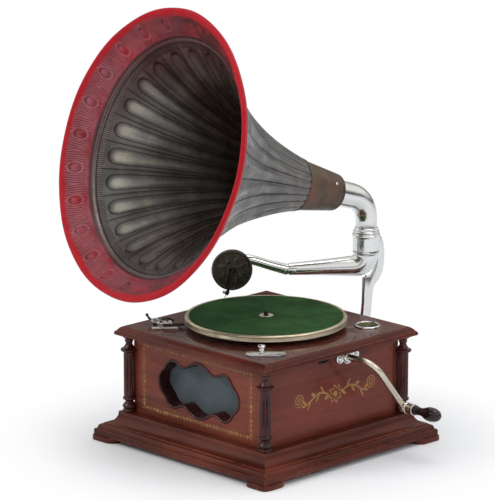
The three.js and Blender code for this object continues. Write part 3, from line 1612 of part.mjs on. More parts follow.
function addHorn() {
  const swivel = new THREE.Group();
  swivel.position.set(0, pivotY, 0);
  swivel.rotation.z = -hornYaw * degree;
  model.add(swivel);
  piece('elbow', elbowGeometry(), nickel, swivel);

  const axis = new THREE.Group();
  axis.position.set(0, 0, hornZ);
  axis.rotation.x = (90 - hornPitch) * degree;
  swivel.add(axis);
  const lipBore = elbowEnd + gap;
  const wall = hornWall + 0.4;
  piece('horn_collar', turned([
    [lipBore, collarStart],
    [collarFoot - 1.5, collarStart],
    [collarFoot, collarStart + 2],
    [collarFoot + 1, collarStart + 8],
    [collarEnd, collarStop - 6],
    [collarEnd + 2.2, collarStop - 4],
    [collarEnd + 2.2, collarStop - 1],
    [collarEnd + 1, collarStop],
    [collarEnd - wall, collarStop],
    [collarFoot - wall, collarStart + 5],
    [lipBore, collarStart + 5],
  ], 24), collarPaint, axis);
  const bell = piece('horn_bell', bellGeometry(), hornPaint, axis);
  bell.position.z = collarStop + gap;
}

addCase();
addMotor();
addTurntable();
addCrank();
addSideHook();
addSpeedControl();
addNeedleCup();
addBrake();
addBracket();
addToneArm();
addHorn();

export default model;
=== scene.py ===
import math

import bmesh
import bpy
from mathutils import Matrix, Vector


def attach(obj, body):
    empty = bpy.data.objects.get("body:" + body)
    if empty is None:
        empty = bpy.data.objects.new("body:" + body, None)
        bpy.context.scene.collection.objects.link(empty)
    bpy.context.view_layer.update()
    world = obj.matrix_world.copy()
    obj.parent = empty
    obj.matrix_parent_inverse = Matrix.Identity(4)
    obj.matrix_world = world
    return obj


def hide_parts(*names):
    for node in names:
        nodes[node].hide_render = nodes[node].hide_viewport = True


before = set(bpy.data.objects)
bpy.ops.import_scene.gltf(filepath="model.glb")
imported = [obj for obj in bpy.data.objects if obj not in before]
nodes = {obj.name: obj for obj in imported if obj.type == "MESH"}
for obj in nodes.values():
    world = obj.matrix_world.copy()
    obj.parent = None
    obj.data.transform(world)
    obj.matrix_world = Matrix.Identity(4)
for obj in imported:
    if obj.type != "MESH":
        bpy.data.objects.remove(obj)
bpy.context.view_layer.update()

MM = 0.001
PI = math.pi

# ---------------------------------------------------------------- sizes, in millimetres

PANEL = 146
WALL_FOOT = 46.3
WALL_TOP = 169.7
DECK_FOOT = 170
DECK_TOP = 184.5
PLINTH_FOOT = 8.3
FOOT_REACH = 195.6
COLUMN_AT = 151.5
TURNTABLE_RADIUS = 127
FELT_HOLE, FELT_EDGE = 12.2, 120.3
CUP_X, CUP_Y = 111, 113
KNOB_X, KNOB_Y = 112.457, -120.943
BRAKE_X, BRAKE_Y = -104, -117
WINDOW_Z = 108
PIVOT_Y = 225.5
ARM_Z = 242.7
KINK = 131
BOX_AT = 221.4
BOX_Z = 249.6
HORN_Z = 351.9
HORN_PITCH = math.radians(16.83)
HORN_YAW = math.radians(7.44)

# ---------------------------------------------------------------- camera and lamps

# the camera fitted to the photograph: degrees and metres, then pixels
CAMERA_TURN = 45.206
CAMERA_RISE = 15.44
CAMERA_REACH = 5.5
TARGET_HEIGHT = 0.15
FOCAL = 3513
PICTURE_WIDTH = 500
CENTRE_X, CENTRE_Y = 247.5, 250
TARGET_X, TARGET_Y = 266.1, 347.35


def look(azimuth, elevation):
    """The direction from the object to an eye, from degrees."""
    a, e = math.radians(azimuth), math.radians(elevation)
    return Vector((math.sin(a) * math.cos(e), -math.cos(a) * math.cos(e), math.sin(e)))


def add_camera():
    turned_by = math.radians(CAMERA_TURN)
    back = look(CAMERA_TURN, CAMERA_RISE)
    right = Vector((math.cos(turned_by), math.sin(turned_by), 0))
    up = back.cross(right)
    # the photograph's centre lies above and left of the point over the cabinet's middle
    towards = -back + right * ((CENTRE_X - TARGET_X) / FOCAL) - up * ((CENTRE_Y - TARGET_Y) / FOCAL)
    data = bpy.data.cameras.new("photo_camera")
    data.sensor_width = 36
    data.lens = data.sensor_width * FOCAL / PICTURE_WIDTH
    data.clip_end = 60
    camera = bpy.data.objects.new("photo_camera", data)
    camera.location = Vector((0, 0, TARGET_HEIGHT)) + back * CAMERA_REACH
    camera.rotation_euler = towards.to_track_quat("-Z", "Y").to_euler()
    bpy.context.scene.collection.objects.link(camera)
    bpy.context.scene.camera = camera


def add_lamp(name, place, target, width, watts, tint):
    data = bpy.data.lights.new(name, "AREA")
    data.shape = "DISK"
    data.size = width
    data.energy = watts
    data.color = tint
    lamp = bpy.data.objects.new(name, data)
    lamp.location = place
    lamp.rotation_euler = (Vector(target) - Vector(place)).to_track_quat("-Z", "Y").to_euler()
    bpy.context.scene.collection.objects.link(lamp)


# ---------------------------------------------------------------- node trees


class Wire:
    """A number that flows through a node tree; arithmetic on it adds Math nodes."""

    def __init__(self, tree, socket):
        self.tree = tree
        self.socket = socket

    def math(self, operation, *others, clamp=False):
        node = self.tree.nodes.new("ShaderNodeMath")
        node.operation = operation
        node.use_clamp = clamp
        for slot, value in enumerate((self, *others)):
            feed(self.tree, node.inputs[slot], value)
        return Wire(self.tree, node.outputs[0])

    def __add__(self, other):
        return self.math("ADD", other)

    def __sub__(self, other):
        return self.math("SUBTRACT", other)

    def __mul__(self, other):
        return self.math("MULTIPLY", other)

    def __truediv__(self, other):
        return self.math("DIVIDE", other)

    __radd__ = __add__
    __rmul__ = __mul__

    def __rsub__(self, other):
        return (self * -1) + other

    def smooth(self, low, high):
        """0 below low, 1 above high, eased between."""
        node = self.tree.nodes.new("ShaderNodeMapRange")
        node.interpolation_type = "SMOOTHSTEP"
        feed(self.tree, node.inputs["Value"], self)
        feed(self.tree, node.inputs["From Min"], low)
        feed(self.tree, node.inputs["From Max"], high)
        return Wire(self.tree, node.outputs["Result"])

    def near(self, centre, inner, outer):
        """1 within the inner distance of the centre, 0 past the outer one."""
        return 1 - (self - centre).math("ABSOLUTE").smooth(inner, outer)

    def hypot(self, other):
        return (self * self + other * other).math("SQRT")

    def clamp(self):
        return self.math("ADD", 0.0, clamp=True)


def feed(tree, slot, value):
    if isinstance(value, Wire):
        tree.links.new(value.socket, slot)
    elif isinstance(value, bpy.types.NodeSocket):
        tree.links.new(value, slot)
    elif isinstance(value, (tuple, list)) and len(value) == 3 and slot.type == "RGBA":
        slot.default_value = (*value, 1)
    else:
        slot.default_value = value


def new_group(name, inputs, outputs):
    """A shader node group with named sockets; returns it with its input and output nodes."""
    tree = bpy.data.node_groups.new(name, "ShaderNodeTree")
    kinds = {"value": "NodeSocketFloat", "colour": "NodeSocketColor", "vector": "NodeSocketVector"}
    for label, kind, default in inputs:
        socket = tree.interface.new_socket(label, in_out="INPUT", socket_type=kinds[kind])
        if default is not None:
            socket.default_value = default
    for label, kind in outputs:
        tree.interface.new_socket(label, in_out="OUTPUT", socket_type=kinds[kind])
    return tree, tree.nodes.new("NodeGroupInput"), tree.nodes.new("NodeGroupOutput")


def noise(tree, vector, scale, detail=3.0, roughness=0.55, distortion=0.0):
    node = tree.nodes.new("ShaderNodeTexNoise")
    if vector is not None:
        tree.links.new(vector, node.inputs["Vector"])
    feed(tree, node.inputs["Scale"], scale)
    node.inputs["Detail"].default_value = detail
    node.inputs["Roughness"].default_value = roughness
    node.inputs["Distortion"].default_value = distortion
    return Wire(tree, node.outputs["Fac"])


def object_place(tree):
    return tree.nodes.new("ShaderNodeTexCoord").outputs["Object"]


def mapped(tree, vector, location=(0, 0, 0), rotation=(0, 0, 0), scale=(1, 1, 1), kind="POINT"):
    node = tree.nodes.new("ShaderNodeMapping")
    node.vector_type = kind
    tree.links.new(vector, node.inputs["Vector"])
    node.inputs["Location"].default_value = location
    node.inputs["Rotation"].default_value = rotation
    node.inputs["Scale"].default_value = scale
    return node.outputs["Vector"]


def split_xyz(tree, vector):
    node = tree.nodes.new("ShaderNodeSeparateXYZ")
    tree.links.new(vector, node.inputs[0])
    return [Wire(tree, socket) for socket in node.outputs]


def join_xyz(tree, x, y, z):
    node = tree.nodes.new("ShaderNodeCombineXYZ")
    for slot, value in zip(node.inputs, (x, y, z)):
        feed(tree, slot, value)
    return node.outputs[0]


def blend(tree, share, first, second, kind="MIX"):
    node = tree.nodes.new("ShaderNodeMix")
    node.data_type = "RGBA"
    node.blend_type = kind
    feed(tree, node.inputs["Factor"], share)
    feed(tree, node.inputs[6], first)
    feed(tree, node.inputs[7], second)
    return node.outputs[2]


def layered(tree, base, *layers):
    """Lays colours on a base one after another, each given with its mask."""
    for mask, colour in layers:
        base = blend(tree, mask, base, colour)
    return base


def make_wear_group():
    """Edges that hands and dusters have rubbed: a mask from how far a rounded normal leaves the true one."""
    tree, start, end = new_group(
        "rubbed_edges",
        [("Width", "value", 0.0012), ("Gain", "value", 6.0), ("Breakup", "value", 90.0)],
        [("Mask", "value")],
    )
    bevel = tree.nodes.new("ShaderNodeBevel")
    bevel.samples = 4
    tree.links.new(start.outputs["Width"], bevel.inputs["Radius"])
    truth = tree.nodes.new("ShaderNodeNewGeometry")
    dot = tree.nodes.new("ShaderNodeVectorMath")
    dot.operation = "DOT_PRODUCT"
    tree.links.new(bevel.outputs[0], dot.inputs[0])
    tree.links.new(truth.outputs["Normal"], dot.inputs[1])
    turned_away = 1 - Wire(tree, dot.outputs["Value"])
    ragged = noise(tree, object_place(tree), start.outputs["Breakup"], 4).smooth(0.38, 0.62)
    mask = (turned_away * Wire(tree, start.outputs["Gain"]) * ragged).clamp()
    tree.links.new(mask.socket, end.inputs["Mask"])
    return tree


def make_grain_group():
    """Sawn timber: long figure, fine pores and slow changes of tone along the grain."""
    tree, start, end = new_group(
        "timber_grain",
        [("Vector", "vector", None), ("Size", "value", 1.0)],
        [("Figure", "value"), ("Pores", "value"), ("Tone", "value")],
    )
    scaled = tree.nodes.new("ShaderNodeVectorMath")
    scaled.operation = "SCALE"
    tree.links.new(start.outputs["Vector"], scaled.inputs[0])
    tree.links.new(start.outputs["Size"], scaled.inputs["Scale"])
    along = scaled.outputs["Vector"]
    drawn = mapped(tree, along, scale=(3.5, 42, 42))
    figure = noise(tree, drawn, 1.0, 5, 0.6, 0.9)
    fine = mapped(tree, along, scale=(26, 900, 900))
    pores = noise(tree, fine, 1.0, 2, 0.5).smooth(0.56, 0.72)
    tone = noise(tree, mapped(tree, along, scale=(4, 9, 9)), 1.0, 2, 0.5)
    tree.links.new(figure.socket, end.inputs["Figure"])
    tree.links.new(pores.socket, end.inputs["Pores"])
    tree.links.new(tone.socket, end.inputs["Tone"])
    return tree


def make_dust_group():
    """Dust and grime: cloudy patches, thicker on what faces up."""
    tree, start, end = new_group(
        "settled_dust",
        [("Scale", "value", 14.0), ("Cover", "value", 0.5), ("Upward", "value", 0.6)],
        [("Mask", "value")],
    )
    patches = noise(tree, object_place(tree), start.outputs["Scale"], 5, 0.62)
    facing = split_xyz(tree, tree.nodes.new("ShaderNodeNewGeometry").outputs["Normal"])[2]
    lift = facing.smooth(-0.2, 0.9) * Wire(tree, start.outputs["Upward"])
    amount = patches + lift - 1 + Wire(tree, start.outputs["Cover"])
    tree.links.new(amount.smooth(0.0, 0.45).socket, end.inputs["Mask"])
    return tree


def make_scuff_group():
    """Fine polishing marks and fingerprints on metal and varnish, as a change of roughness and height."""
    tree, start, end = new_group(
        "polish_marks",
        [("Scale", "value", 60.0), ("Depth", "value", 0.3)],
        [("Smear", "value"), ("Height", "value")],
    )
    place = object_place(tree)
    smear = noise(tree, place, start.outputs["Scale"], 3, 0.6, 1.2).smooth(0.3, 0.75)
    lines = noise(tree, mapped(tree, place, rotation=(0.3, 0.5, 0.9), scale=(1, 14, 1)), 320.0, 2, 0.5)
    tree.links.new((smear * Wire(tree, start.outputs["Depth"])).socket, end.inputs["Smear"])
    tree.links.new(lines.socket, end.inputs["Height"])
    return tree


WEAR = make_wear_group()
GRAIN = make_grain_group()
DUST = make_dust_group()
SCUFF = make_scuff_group()


def use(tree, group, **values):
    node = tree.nodes.new("ShaderNodeGroup")
    node.node_tree = group
    for label, value in values.items():
        feed(tree, node.inputs[label], value)
    return node


def out_of(tree, node, label):
    return Wire(tree, node.outputs[label])


def bump(tree, shader, height, strength, distance=0.0004):
    node = tree.nodes.new("ShaderNodeBump")
    node.inputs["Strength"].default_value = strength
    node.inputs["Distance"].default_value = distance
    feed(tree, node.inputs["Height"], height)
    tree.links.new(node.outputs[0], shader.inputs["Normal"])
    return node


def new_material(name, roughness=0.5, metallic=0.0, coat=0.0, coat_roughness=0.1, sheen=0.0, specular=0.5):
    material = bpy.data.materials.new(name)
    material.use_nodes = True
    tree = material.node_tree
    shader = tree.nodes["Principled BSDF"]
    shader.inputs["Roughness"].default_value = roughness
    shader.inputs["Metallic"].default_value = metallic
    shader.inputs["Coat Weight"].default_value = coat
    shader.inputs["Coat Roughness"].default_value = coat_roughness
    shader.inputs["Sheen Weight"].default_value = sheen
    shader.inputs["Specular IOR Level"].default_value = specular
    return material, tree, shader


def grain_way(tree, run):
    """Which way the boards run: "x", "y", "z", or "mitre" for a moulding round the square case."""
    place = object_place(tree)
    x, y, z = split_xyz(tree, place)
    if run == "x":
        return place
    if run == "y":
        return join_xyz(tree, y, x, z)
    if run == "z":
        return join_xyz(tree, z, x, y)
    on_side = x.math("ABSOLUTE").math("GREATER_THAN", y.math("ABSOLUTE"))
    off = 1 - on_side
    return join_xyz(tree, x * off + y * on_side + on_side * 0.7, y * off + x * on_side, z)


def varnished(name, run, dark, mid, light, gloss=0.22, coat=0.2, wear=0.4, grime=0.3, ornament=None):
    """Varnished wood with rubbed edges, lightened also as a painted highlight along them, grime and, where
    there is one, a gold ornament.
    """
    material, tree, shader = new_material(name, gloss, coat=coat, coat_roughness=0.09, specular=0.12)
    grain = use(tree, GRAIN, Vector=grain_way(tree, run), Size=1.0)
    figure = out_of(tree, grain, "Figure")
    pores = out_of(tree, grain, "Pores")
    # rubbed edges, made lighter also as a painted highlight along the edges
    worn = out_of(tree, use(tree, WEAR, Width=0.0020, Gain=8.0, Breakup=70.0), "Mask")
    rubbed = (light[0] * 2.0 + 0.04, light[1] * 2.0 + 0.02, light[2] * 1.6 + 0.01)
    grimy = out_of(tree, use(tree, DUST, Scale=9.0, Cover=0.42, Upward=0.1), "Mask")
    base = layered(
        tree, blend(tree, figure.smooth(0.30, 0.72), dark, mid),
        (out_of(tree, grain, "Tone").smooth(0.42, 0.72) * 0.6, light),
        (pores * 0.55, tuple(c * 0.45 for c in dark)),
        (worn * wear, rubbed),
        (grimy * grime, tuple(c * 0.5 for c in dark)),
    )
    if ornament:
        base = gilded(tree, base, ornament(tree))
    feed(tree, shader.inputs["Base Color"], base)
    marks = use(tree, SCUFF, Scale=26.0, Depth=0.22)
    rough = out_of(tree, marks, "Smear") + gloss + worn * 0.2
    feed(tree, shader.inputs["Roughness"], rough)
    bump(tree, shader, figure * 0.6 + pores * -0.5, 0.25, 0.00025)
    return material


def gilded(tree, base, mask):
    """Gold transfer laid on varnish: worn through in places, olive where it has dulled."""
    place = object_place(tree)
    whole = noise(tree, place, 60.0, 5, 0.7).smooth(0.24, 0.44)
    gold = blend(tree, noise(tree, place, 170.0, 3).smooth(0.4, 0.6), (0.46, 0.21, 0.055), (0.24, 0.17, 0.06))
    return blend(tree, mask * whole, base, gold)


def plated(name, bright, tarnish, gloss=0.14, cover=0.35, scale=22.0, speckle=0.3):
    """Nickel plate: bright, with yellow-brown tarnish in patches and small dark pits."""
    material, tree, shader = new_material(name, gloss, metallic=1.0)
    clouds = out_of(tree, use(tree, DUST, Scale=scale, Cover=cover, Upward=0.0), "Mask")
    base = blend(tree, clouds, bright, tarnish)
    pits = noise(tree, object_place(tree), 420.0, 2, 0.6).smooth(0.64, 0.74)
    base = blend(tree, pits * speckle, base, tuple(c * 0.25 for c in tarnish))
    feed(tree, shader.inputs["Base Color"], base)
    marks = use(tree, SCUFF, Scale=55.0, Depth=0.16)
    rough = out_of(tree, marks, "Smear") + gloss + clouds * 0.16 + pits * 0.3
    feed(tree, shader.inputs["Roughness"], rough)
    bump(tree, shader, out_of(tree, marks, "Height") - pits, 0.12, 0.0002)
    return material


def darkened(name, base_colour, rubbed, roughness=0.38, metallic=0.85, wear=0.7, cover=0.35):
    """Browned or painted metal whose edges are rubbed to a lighter tone."""
    material, tree, shader = new_material(name, roughness, metallic=metallic)
    clouds = out_of(tree, use(tree, DUST, Scale=30.0, Cover=cover, Upward=0.15), "Mask")
    base = blend(tree, clouds, base_colour, tuple(c * 1.5 + 0.01 for c in base_colour))
    worn = out_of(tree, use(tree, WEAR, Width=0.0008, Gain=7.0, Breakup=160.0), "Mask")
    base = blend(tree, worn * wear, base, rubbed)
    feed(tree, shader.inputs["Base Color"], base)
    marks = use(tree, SCUFF, Scale=80.0, Depth=0.25)
    rough = out_of(tree, marks, "Smear") + roughness
    feed(tree, shader.inputs["Roughness"], rough)
    bump(tree, shader, out_of(tree, marks, "Height"), 0.2, 0.0002)
    return material


def woven(name, thread, shade, per_metre=900.0, gap_dark=0.5):
    """Plain-woven cloth over the window, dulled by dust."""
    material, tree, shader = new_material(name, 0.92, sheen=0.15)
    x, _, z = split_xyz(tree, object_place(tree))
    across = (x * (per_metre * 2 * PI)).math("SINE")
    down = (z * (per_metre * 2 * PI)).math("SINE")
    over = (across * down) * 0.5 + 0.5
    cloudy = noise(tree, object_place(tree), 26.0, 4, 0.6)
    base = blend(tree, cloudy.smooth(0.3, 0.75), shade, thread)
    base = blend(tree, (1 - over) * gap_dark, base, tuple(c * 0.45 for c in shade))
    feed(tree, shader.inputs["Base Color"], base)
    bump(tree, shader, over, 0.5, 0.0002)
    return material


def felted(name, green, dark, pale):
    """Felt: short matted fibres, rubbed darker where records have lain."""
    material, tree, shader = new_material(name, 1.0, specular=0.08)
    place = object_place(tree)
    x, y = split_xyz(tree, place)[:2]
    radius = x.hypot(y)
    fibres = noise(tree, place, 900.0, 3, 0.7, 0.6)
    matted = noise(tree, mapped(tree, place, scale=(1, 1, 0.1)), 26.0, 5, 0.62, 0.4)
    base = blend(tree, matted.smooth(0.32, 0.72), dark, green)
    base = blend(tree, fibres.smooth(0.45, 0.75) * 0.55, base, pale)
    rings = (radius * 2200.0).math("SINE") * 0.5 + 0.5
    rubbed = (radius.near(0.062, 0.0, 0.05)) * rings
    base = blend(tree, rubbed * 0.16, base, dark)
    feed(tree, shader.inputs["Base Color"], base)
    bump(tree, shader, fibres + matted * 0.6, 0.6, 0.0006)
    return material


def hide(name, colour):
    """Leather with a fine grain."""
    material, tree, shader = new_material(name, 0.75)
    cells = tree.nodes.new("ShaderNodeTexVoronoi")
    tree.links.new(object_place(tree), cells.inputs["Vector"])
    cells.inputs["Scale"].default_value = 900
    grain = Wire(tree, cells.outputs["Distance"])
    tone = noise(tree, object_place(tree), 120.0, 3)
    base = blend(tree, tone.smooth(0.3, 0.7), colour, tuple(c * 0.5 for c in colour))
    feed(tree, shader.inputs["Base Color"], base)
    bump(tree, shader, grain, 0.4, 0.0002)
    return material


# ---------------------------------------------------------------- backdrop


def mixed(tree, share, first, second):
    node = tree.nodes.new("ShaderNodeMixShader")
    for slot, value in zip(node.inputs, (share, first, second)):
        feed(tree, slot, value)
    return node.outputs[0]


def glow(tree, colour, strength=1.0):
    """A background shader for the world."""
    node = tree.nodes.new("ShaderNodeBackground")
    feed(tree, node.inputs["Color"], colour)
    node.inputs["Strength"].default_value = strength
    return node.outputs[0]


def mirrored_room(tree):
    """What metal mirrors: a pale room, bright above and greyer towards the floor."""
    x, y, z = split_xyz(tree, tree.nodes.new("ShaderNodeTexCoord").outputs["Generated"])
    ramp = tree.nodes.new("ShaderNodeValToRGB")
    stops = ((0.0, 0.5), (0.40, 0.22), (0.50, 0.05), (0.56, 0.62), (0.66, 1.0), (0.84, 0.95), (1.0, 0.7))
    while len(ramp.color_ramp.elements) < len(stops):
        ramp.color_ramp.elements.new(0.5)
    for element, (at_height, grey) in zip(ramp.color_ramp.elements, stops):
        element.position = at_height
        element.color = (grey, grey * 0.985, grey * 0.97, 1)
    feed(tree, ramp.inputs[0], z.math("MULTIPLY_ADD", 0.5, 0.5))
    # dark furniture and doorways round the room, so that polished curves show bands
    around = y.math("ARCTAN2", x)
    bands = (around * 3.0 + 0.8).math("SINE") + (around * 7.0 + 2.1).math("SINE") * 0.5
    dim = 1 - bands.smooth(-0.15, 0.55) * (1 - z.smooth(0.15, 0.75)) * 0.82
    return blend(tree, 1.0, ramp.outputs[0], dim, "MULTIPLY")


def add_world():
    """White to the camera, softer light for the object, and a room for metal to mirror."""
    world = bpy.data.worlds.new("studio")
    bpy.context.scene.world = world
    world.use_nodes = True
    tree = world.node_tree
    tree.nodes.clear()
    path = tree.nodes.new("ShaderNodeLightPath")
    direct = out_of(tree, path, "Is Camera Ray").math("MAXIMUM", path.outputs["Is Transmission Ray"])
    lit = mixed(tree, direct, glow(tree, (0.93, 0.96, 1), 0.62), glow(tree, (1, 1, 1)))
    whole = mixed(tree, path.outputs["Is Glossy Ray"], lit, glow(tree, mirrored_room(tree)))
    tree.links.new(whole, tree.nodes.new("ShaderNodeOutputWorld").inputs["Surface"])


def add_floor():
    mesh = bpy.data.meshes.new("floor")
    half = 12
    corners = [(-half, -half, 0), (half, -half, 0), (half, half, 0), (-half, half, 0)]
    mesh.from_pydata(corners, [], [(0, 1, 2, 3)])
    floor = bpy.data.objects.new("floor", mesh)
    bpy.context.scene.collection.objects.link(floor)
    material, tree, shader = new_material("pale_floor", 0.95, specular=0.0)
    feed(tree, shader.inputs["Base Color"], (0.97, 0.97, 0.975))
    # past the cabinet's shadow the camera sees the floor as the white backdrop
    backdrop = tree.nodes.new("ShaderNodeEmission")
    feed(tree, backdrop.inputs["Color"], (1, 1, 1))
    x, y = split_xyz(tree, object_place(tree))[:2]
    seen = out_of(tree, tree.nodes.new("ShaderNodeLightPath"), "Is Camera Ray")
    past = x.hypot(y).smooth(0.22, 0.46) * seen
    surface = mixed(tree, past, shader.outputs[0], backdrop.outputs[0])
    tree.links.new(surface, tree.nodes["Material Output"].inputs["Surface"])
    mesh.materials.append(material)


# ---------------------------------------------------------------- materials of this gramophone

PLINTH_WOOD = varnished(
    "plinth_mahogany", "mitre", (0.044, 0.008, 0.005), (0.115, 0.022, 0.012), (0.215, 0.050, 0.026),
    gloss=0.3,
)
DECK_WOOD = varnished(
    "deck_mahogany", "x", (0.070, 0.016, 0.010), (0.145, 0.042, 0.028), (0.20, 0.068, 0.048),
    gloss=0.2, coat=0.5,
)
EDGE_WOOD = varnished(
    "deck_edge_mahogany", "mitre", (0.048, 0.007, 0.004), (0.115, 0.020, 0.011), (0.19, 0.044, 0.024),
    gloss=0.28,
)
BOARD_WOOD = varnished(
    "board_mahogany", "x", (0.06, 0.015, 0.01), (0.12, 0.03, 0.02), (0.17, 0.05, 0.03), grime=0.5,
)
COLUMN_WOOD = varnished(
    "ebonised_columns", "z", (0.020, 0.005, 0.005), (0.052, 0.011, 0.010), (0.110, 0.024, 0.020),
    gloss=0.24, coat=0.35, wear=0.3,
)
# darker mahogany for the window's lip, darkened further as painted shade on the deep inner walls of the
# opening
SHADED_LIP_WOOD = varnished(
    "window_lip_mahogany_darkened_as_shade", "x", (0.020, 0.004, 0.004), (0.044, 0.008, 0.007), (0.085, 0.015, 0.011),
    gloss=0.2, coat=0.4,
)
GRIP_WOOD = varnished(
    "grip_rosewood", "x", (0.010, 0.004, 0.006), (0.026, 0.009, 0.012), (0.05, 0.02, 0.024),
    gloss=0.2, coat=0.6,
)

NICKEL = plated("nickel_plate", (0.74, 0.74, 0.73), (0.50, 0.46, 0.39), 0.10, 0.33, 16.0, 0.25)
WORN_NICKEL = plated("worn_nickel", (0.72, 0.68, 0.60), (0.42, 0.35, 0.25), 0.22, 0.50, 40.0, 0.6)
RIM_NICKEL = plated("rim_nickel", (0.64, 0.56, 0.40), (0.32, 0.26, 0.15), 0.26, 0.6, 34.0, 0.6)
STEEL = plated("bright_steel", (0.56, 0.56, 0.57), (0.32, 0.29, 0.26), 0.28, 0.35, 40.0, 0.3)
BRASS = plated("motor_brass", (0.70, 0.50, 0.22), (0.35, 0.22, 0.10), 0.28, 0.4, 30.0, 0.3)
CRANK_NICKEL = plated("crank_nickel", (0.66, 0.60, 0.50), (0.34, 0.26, 0.17), 0.24, 0.46, 30.0, 0.5)
IRON = darkened("motor_iron", (0.035, 0.035, 0.038), (0.16, 0.16, 0.16), 0.5)
BROWNED = darkened("browned_steel", (0.030, 0.024, 0.020), (0.20, 0.18, 0.16), 0.4)
SOUND_BOX_BRONZE = darkened(
    "sound_box_bronze", (0.060, 0.048, 0.036), (0.42, 0.38, 0.30), 0.34, 0.9, 0.8, 0.45,
)
CLOTH = woven("window_cloth", (0.100, 0.125, 0.140), (0.060, 0.078, 0.090))
FELT = felted("turntable_felt", (0.042, 0.118, 0.036), (0.026, 0.060, 0.021), (0.095, 0.190, 0.082))
LEATHER = hide("brake_leather", (0.055, 0.025, 0.014))


def make_mica():
    material, tree, shader = new_material("mica_leaf", 0.22)
    flakes = noise(tree, object_place(tree), 90.0, 4, 0.6)
    base = blend(tree, flakes.smooth(0.35, 0.7), (0.050, 0.044, 0.034), (0.135, 0.125, 0.098))
    feed(tree, shader.inputs["Base Color"], base)
    bump(tree, shader, flakes, 0.2, 0.0003)
    return material


MICA = make_mica()

# ---------------------------------------------------------------- solids


def finish_piece(name, shape, material, body, replaced=(), place=None, crease=32):
    """Turns a bmesh drawn in millimetres into a piece of the scene that rides on its body."""
    bmesh.ops.remove_doubles(shape, verts=shape.verts, dist=0.002)
    matrix = Matrix.Scale(MM, 4) @ (place or Matrix.Identity(4))
    bmesh.ops.transform(shape, matrix=matrix, verts=shape.verts)
    bmesh.ops.recalc_face_normals(shape, faces=shape.faces)
    mesh = bpy.data.meshes.new(name)
    shape.to_mesh(mesh)
    shape.free()
    return finish_mesh(name, mesh, material, body, replaced, crease)


def finish_mesh(name, mesh, material, body, replaced=(), crease=32):
    mesh.materials.clear()
    mesh.materials.append(material)
    mesh.shade_smooth()
    mesh.set_sharp_from_angle(angle=math.radians(crease))
    piece = bpy.data.objects.new(name, mesh)
    bpy.context.scene.collection.objects.link(piece)
    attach(piece, body)
    if replaced:
        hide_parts(*([replaced] if isinstance(replaced, str) else replaced))
    return piece


def rounded(profile, radius=0.6, steps=3):
    """A profile whose corners are eased by small arcs; a corner given as (r, z, own radius) keeps its own."""
    out = []
    count = len(profile)
    for i, corner in enumerate(profile):
        here = Vector(corner[:2])
        ease = corner[2] if len(corner) > 2 else radius
        if i in (0, count - 1) or ease <= 0:
            out.append(tuple(here))
            continue
        before = Vector(profile[i - 1][:2])
        after = Vector(profile[i + 1][:2])
        reach = min(ease, (before - here).length * 0.45, (after - here).length * 0.45)
        start = here + (before - here).normalized() * reach
        stop = here + (after - here).normalized() * reach
        for step in range(steps + 1):
            t = step / steps
            out.append(tuple(start.lerp(here, t).lerp(here.lerp(stop, t), t)))
    return out


def ring_faces(shape, rings, closed_round=True, closed_along=False):
    """Quads between rings of vertices; a ring of one vertex is a pole."""
    pairs = list(zip(rings, rings[1:]))
    if closed_along:
        pairs.append((rings[-1], rings[0]))
    for low, high in pairs:
        count = max(len(low), len(high))
        last = count if closed_round else count - 1
        for i in range(last):
            j = (i + 1) % count
            corners = []
            for vertex in (
                low[i % len(low)], low[j % len(low)], high[j % len(high)], high[i % len(high)],
            ):
                if vertex not in corners:
                    corners.append(vertex)
            if len(corners) > 2:
                shape.faces.new(corners)


def turned(profile, sides=64, closed=None, wobble=None):
    """A turned piece about +Z. wobble(angle, row) scales the radius where the piece is fluted."""
    shape = bmesh.new()
    rings = []
    for row, (radius, z) in enumerate(profile):
        if radius < 1e-4:
            rings.append([shape.verts.new((0, 0, z))])
            continue
        ring = []
        for i in range(sides):
            angle = 2 * PI * i / sides
            scaled = radius * (wobble(angle, row) if wobble else 1)
            ring.append(shape.verts.new((scaled * math.cos(angle), scaled * math.sin(angle), z)))
        rings.append(ring)
    open_ends = profile[0][0] > 1e-4 or profile[-1][0] > 1e-4
    ring_faces(shape, rings, closed_along=open_ends if closed is None else closed)
    return shape


def mitred(profile, closed=True):
    """A square moulding about +Z; the profile is (half side, z)."""
    shape = bmesh.new()
    rings = []
    for half, z in profile:
        if half < 1e-4:
            rings.append([shape.verts.new((0, 0, z))])
            continue
        corners = ((-1, -1), (1, -1), (1, 1), (-1, 1))
        rings.append([shape.verts.new((half * x, half * y, z)) for x, y in corners])
    ring_faces(shape, rings, closed_along=closed and profile[0][0] > 1e-4)
    return shape


def slab(outline, bottom, top, ease=0.5):
    """A flat plate with eased edges, cut to a convex or concave outline of (x, y) points."""
    shape = bmesh.new()
    base = [shape.verts.new((x, y, bottom)) for x, y in outline]
    shape.faces.new(base)
    grown = bmesh.ops.extrude_face_region(shape, geom=shape.faces[:])
    lifted = [v for v in grown["geom"] if isinstance(v, bmesh.types.BMVert)]
    bmesh.ops.translate(shape, vec=(0, 0, top - bottom), verts=lifted)
    bmesh.ops.recalc_face_normals(shape, faces=shape.faces)
    if ease > 0:
        rims = [e for e in shape.edges if abs(e.verts[0].co.z - e.verts[1].co.z) < 1e-6]
        bmesh.ops.bevel(shape, geom=rims, offset=ease, segments=2, profile=0.5, affect="EDGES")
    return shape


def arc_points(cx, cy, radius, start, stop, steps=8):
    return [
        (cx + radius * math.cos(start + (stop - start) * i / steps),
         cy + radius * math.sin(start + (stop - start) * i / steps))
        for i in range(steps + 1)
    ]


def rounded_rectangle(x0, y0, x1, y1, radius, steps=6):
    points = []
    for cx, cy, quarter in (
        (x1 - radius, y1 - radius, 0), (x0 + radius, y1 - radius, 1),
        (x0 + radius, y0 + radius, 2), (x1 - radius, y0 + radius, 3),
    ):
        points += arc_points(cx, cy, radius, quarter * PI / 2, (quarter + 1) * PI / 2, steps)
    return points


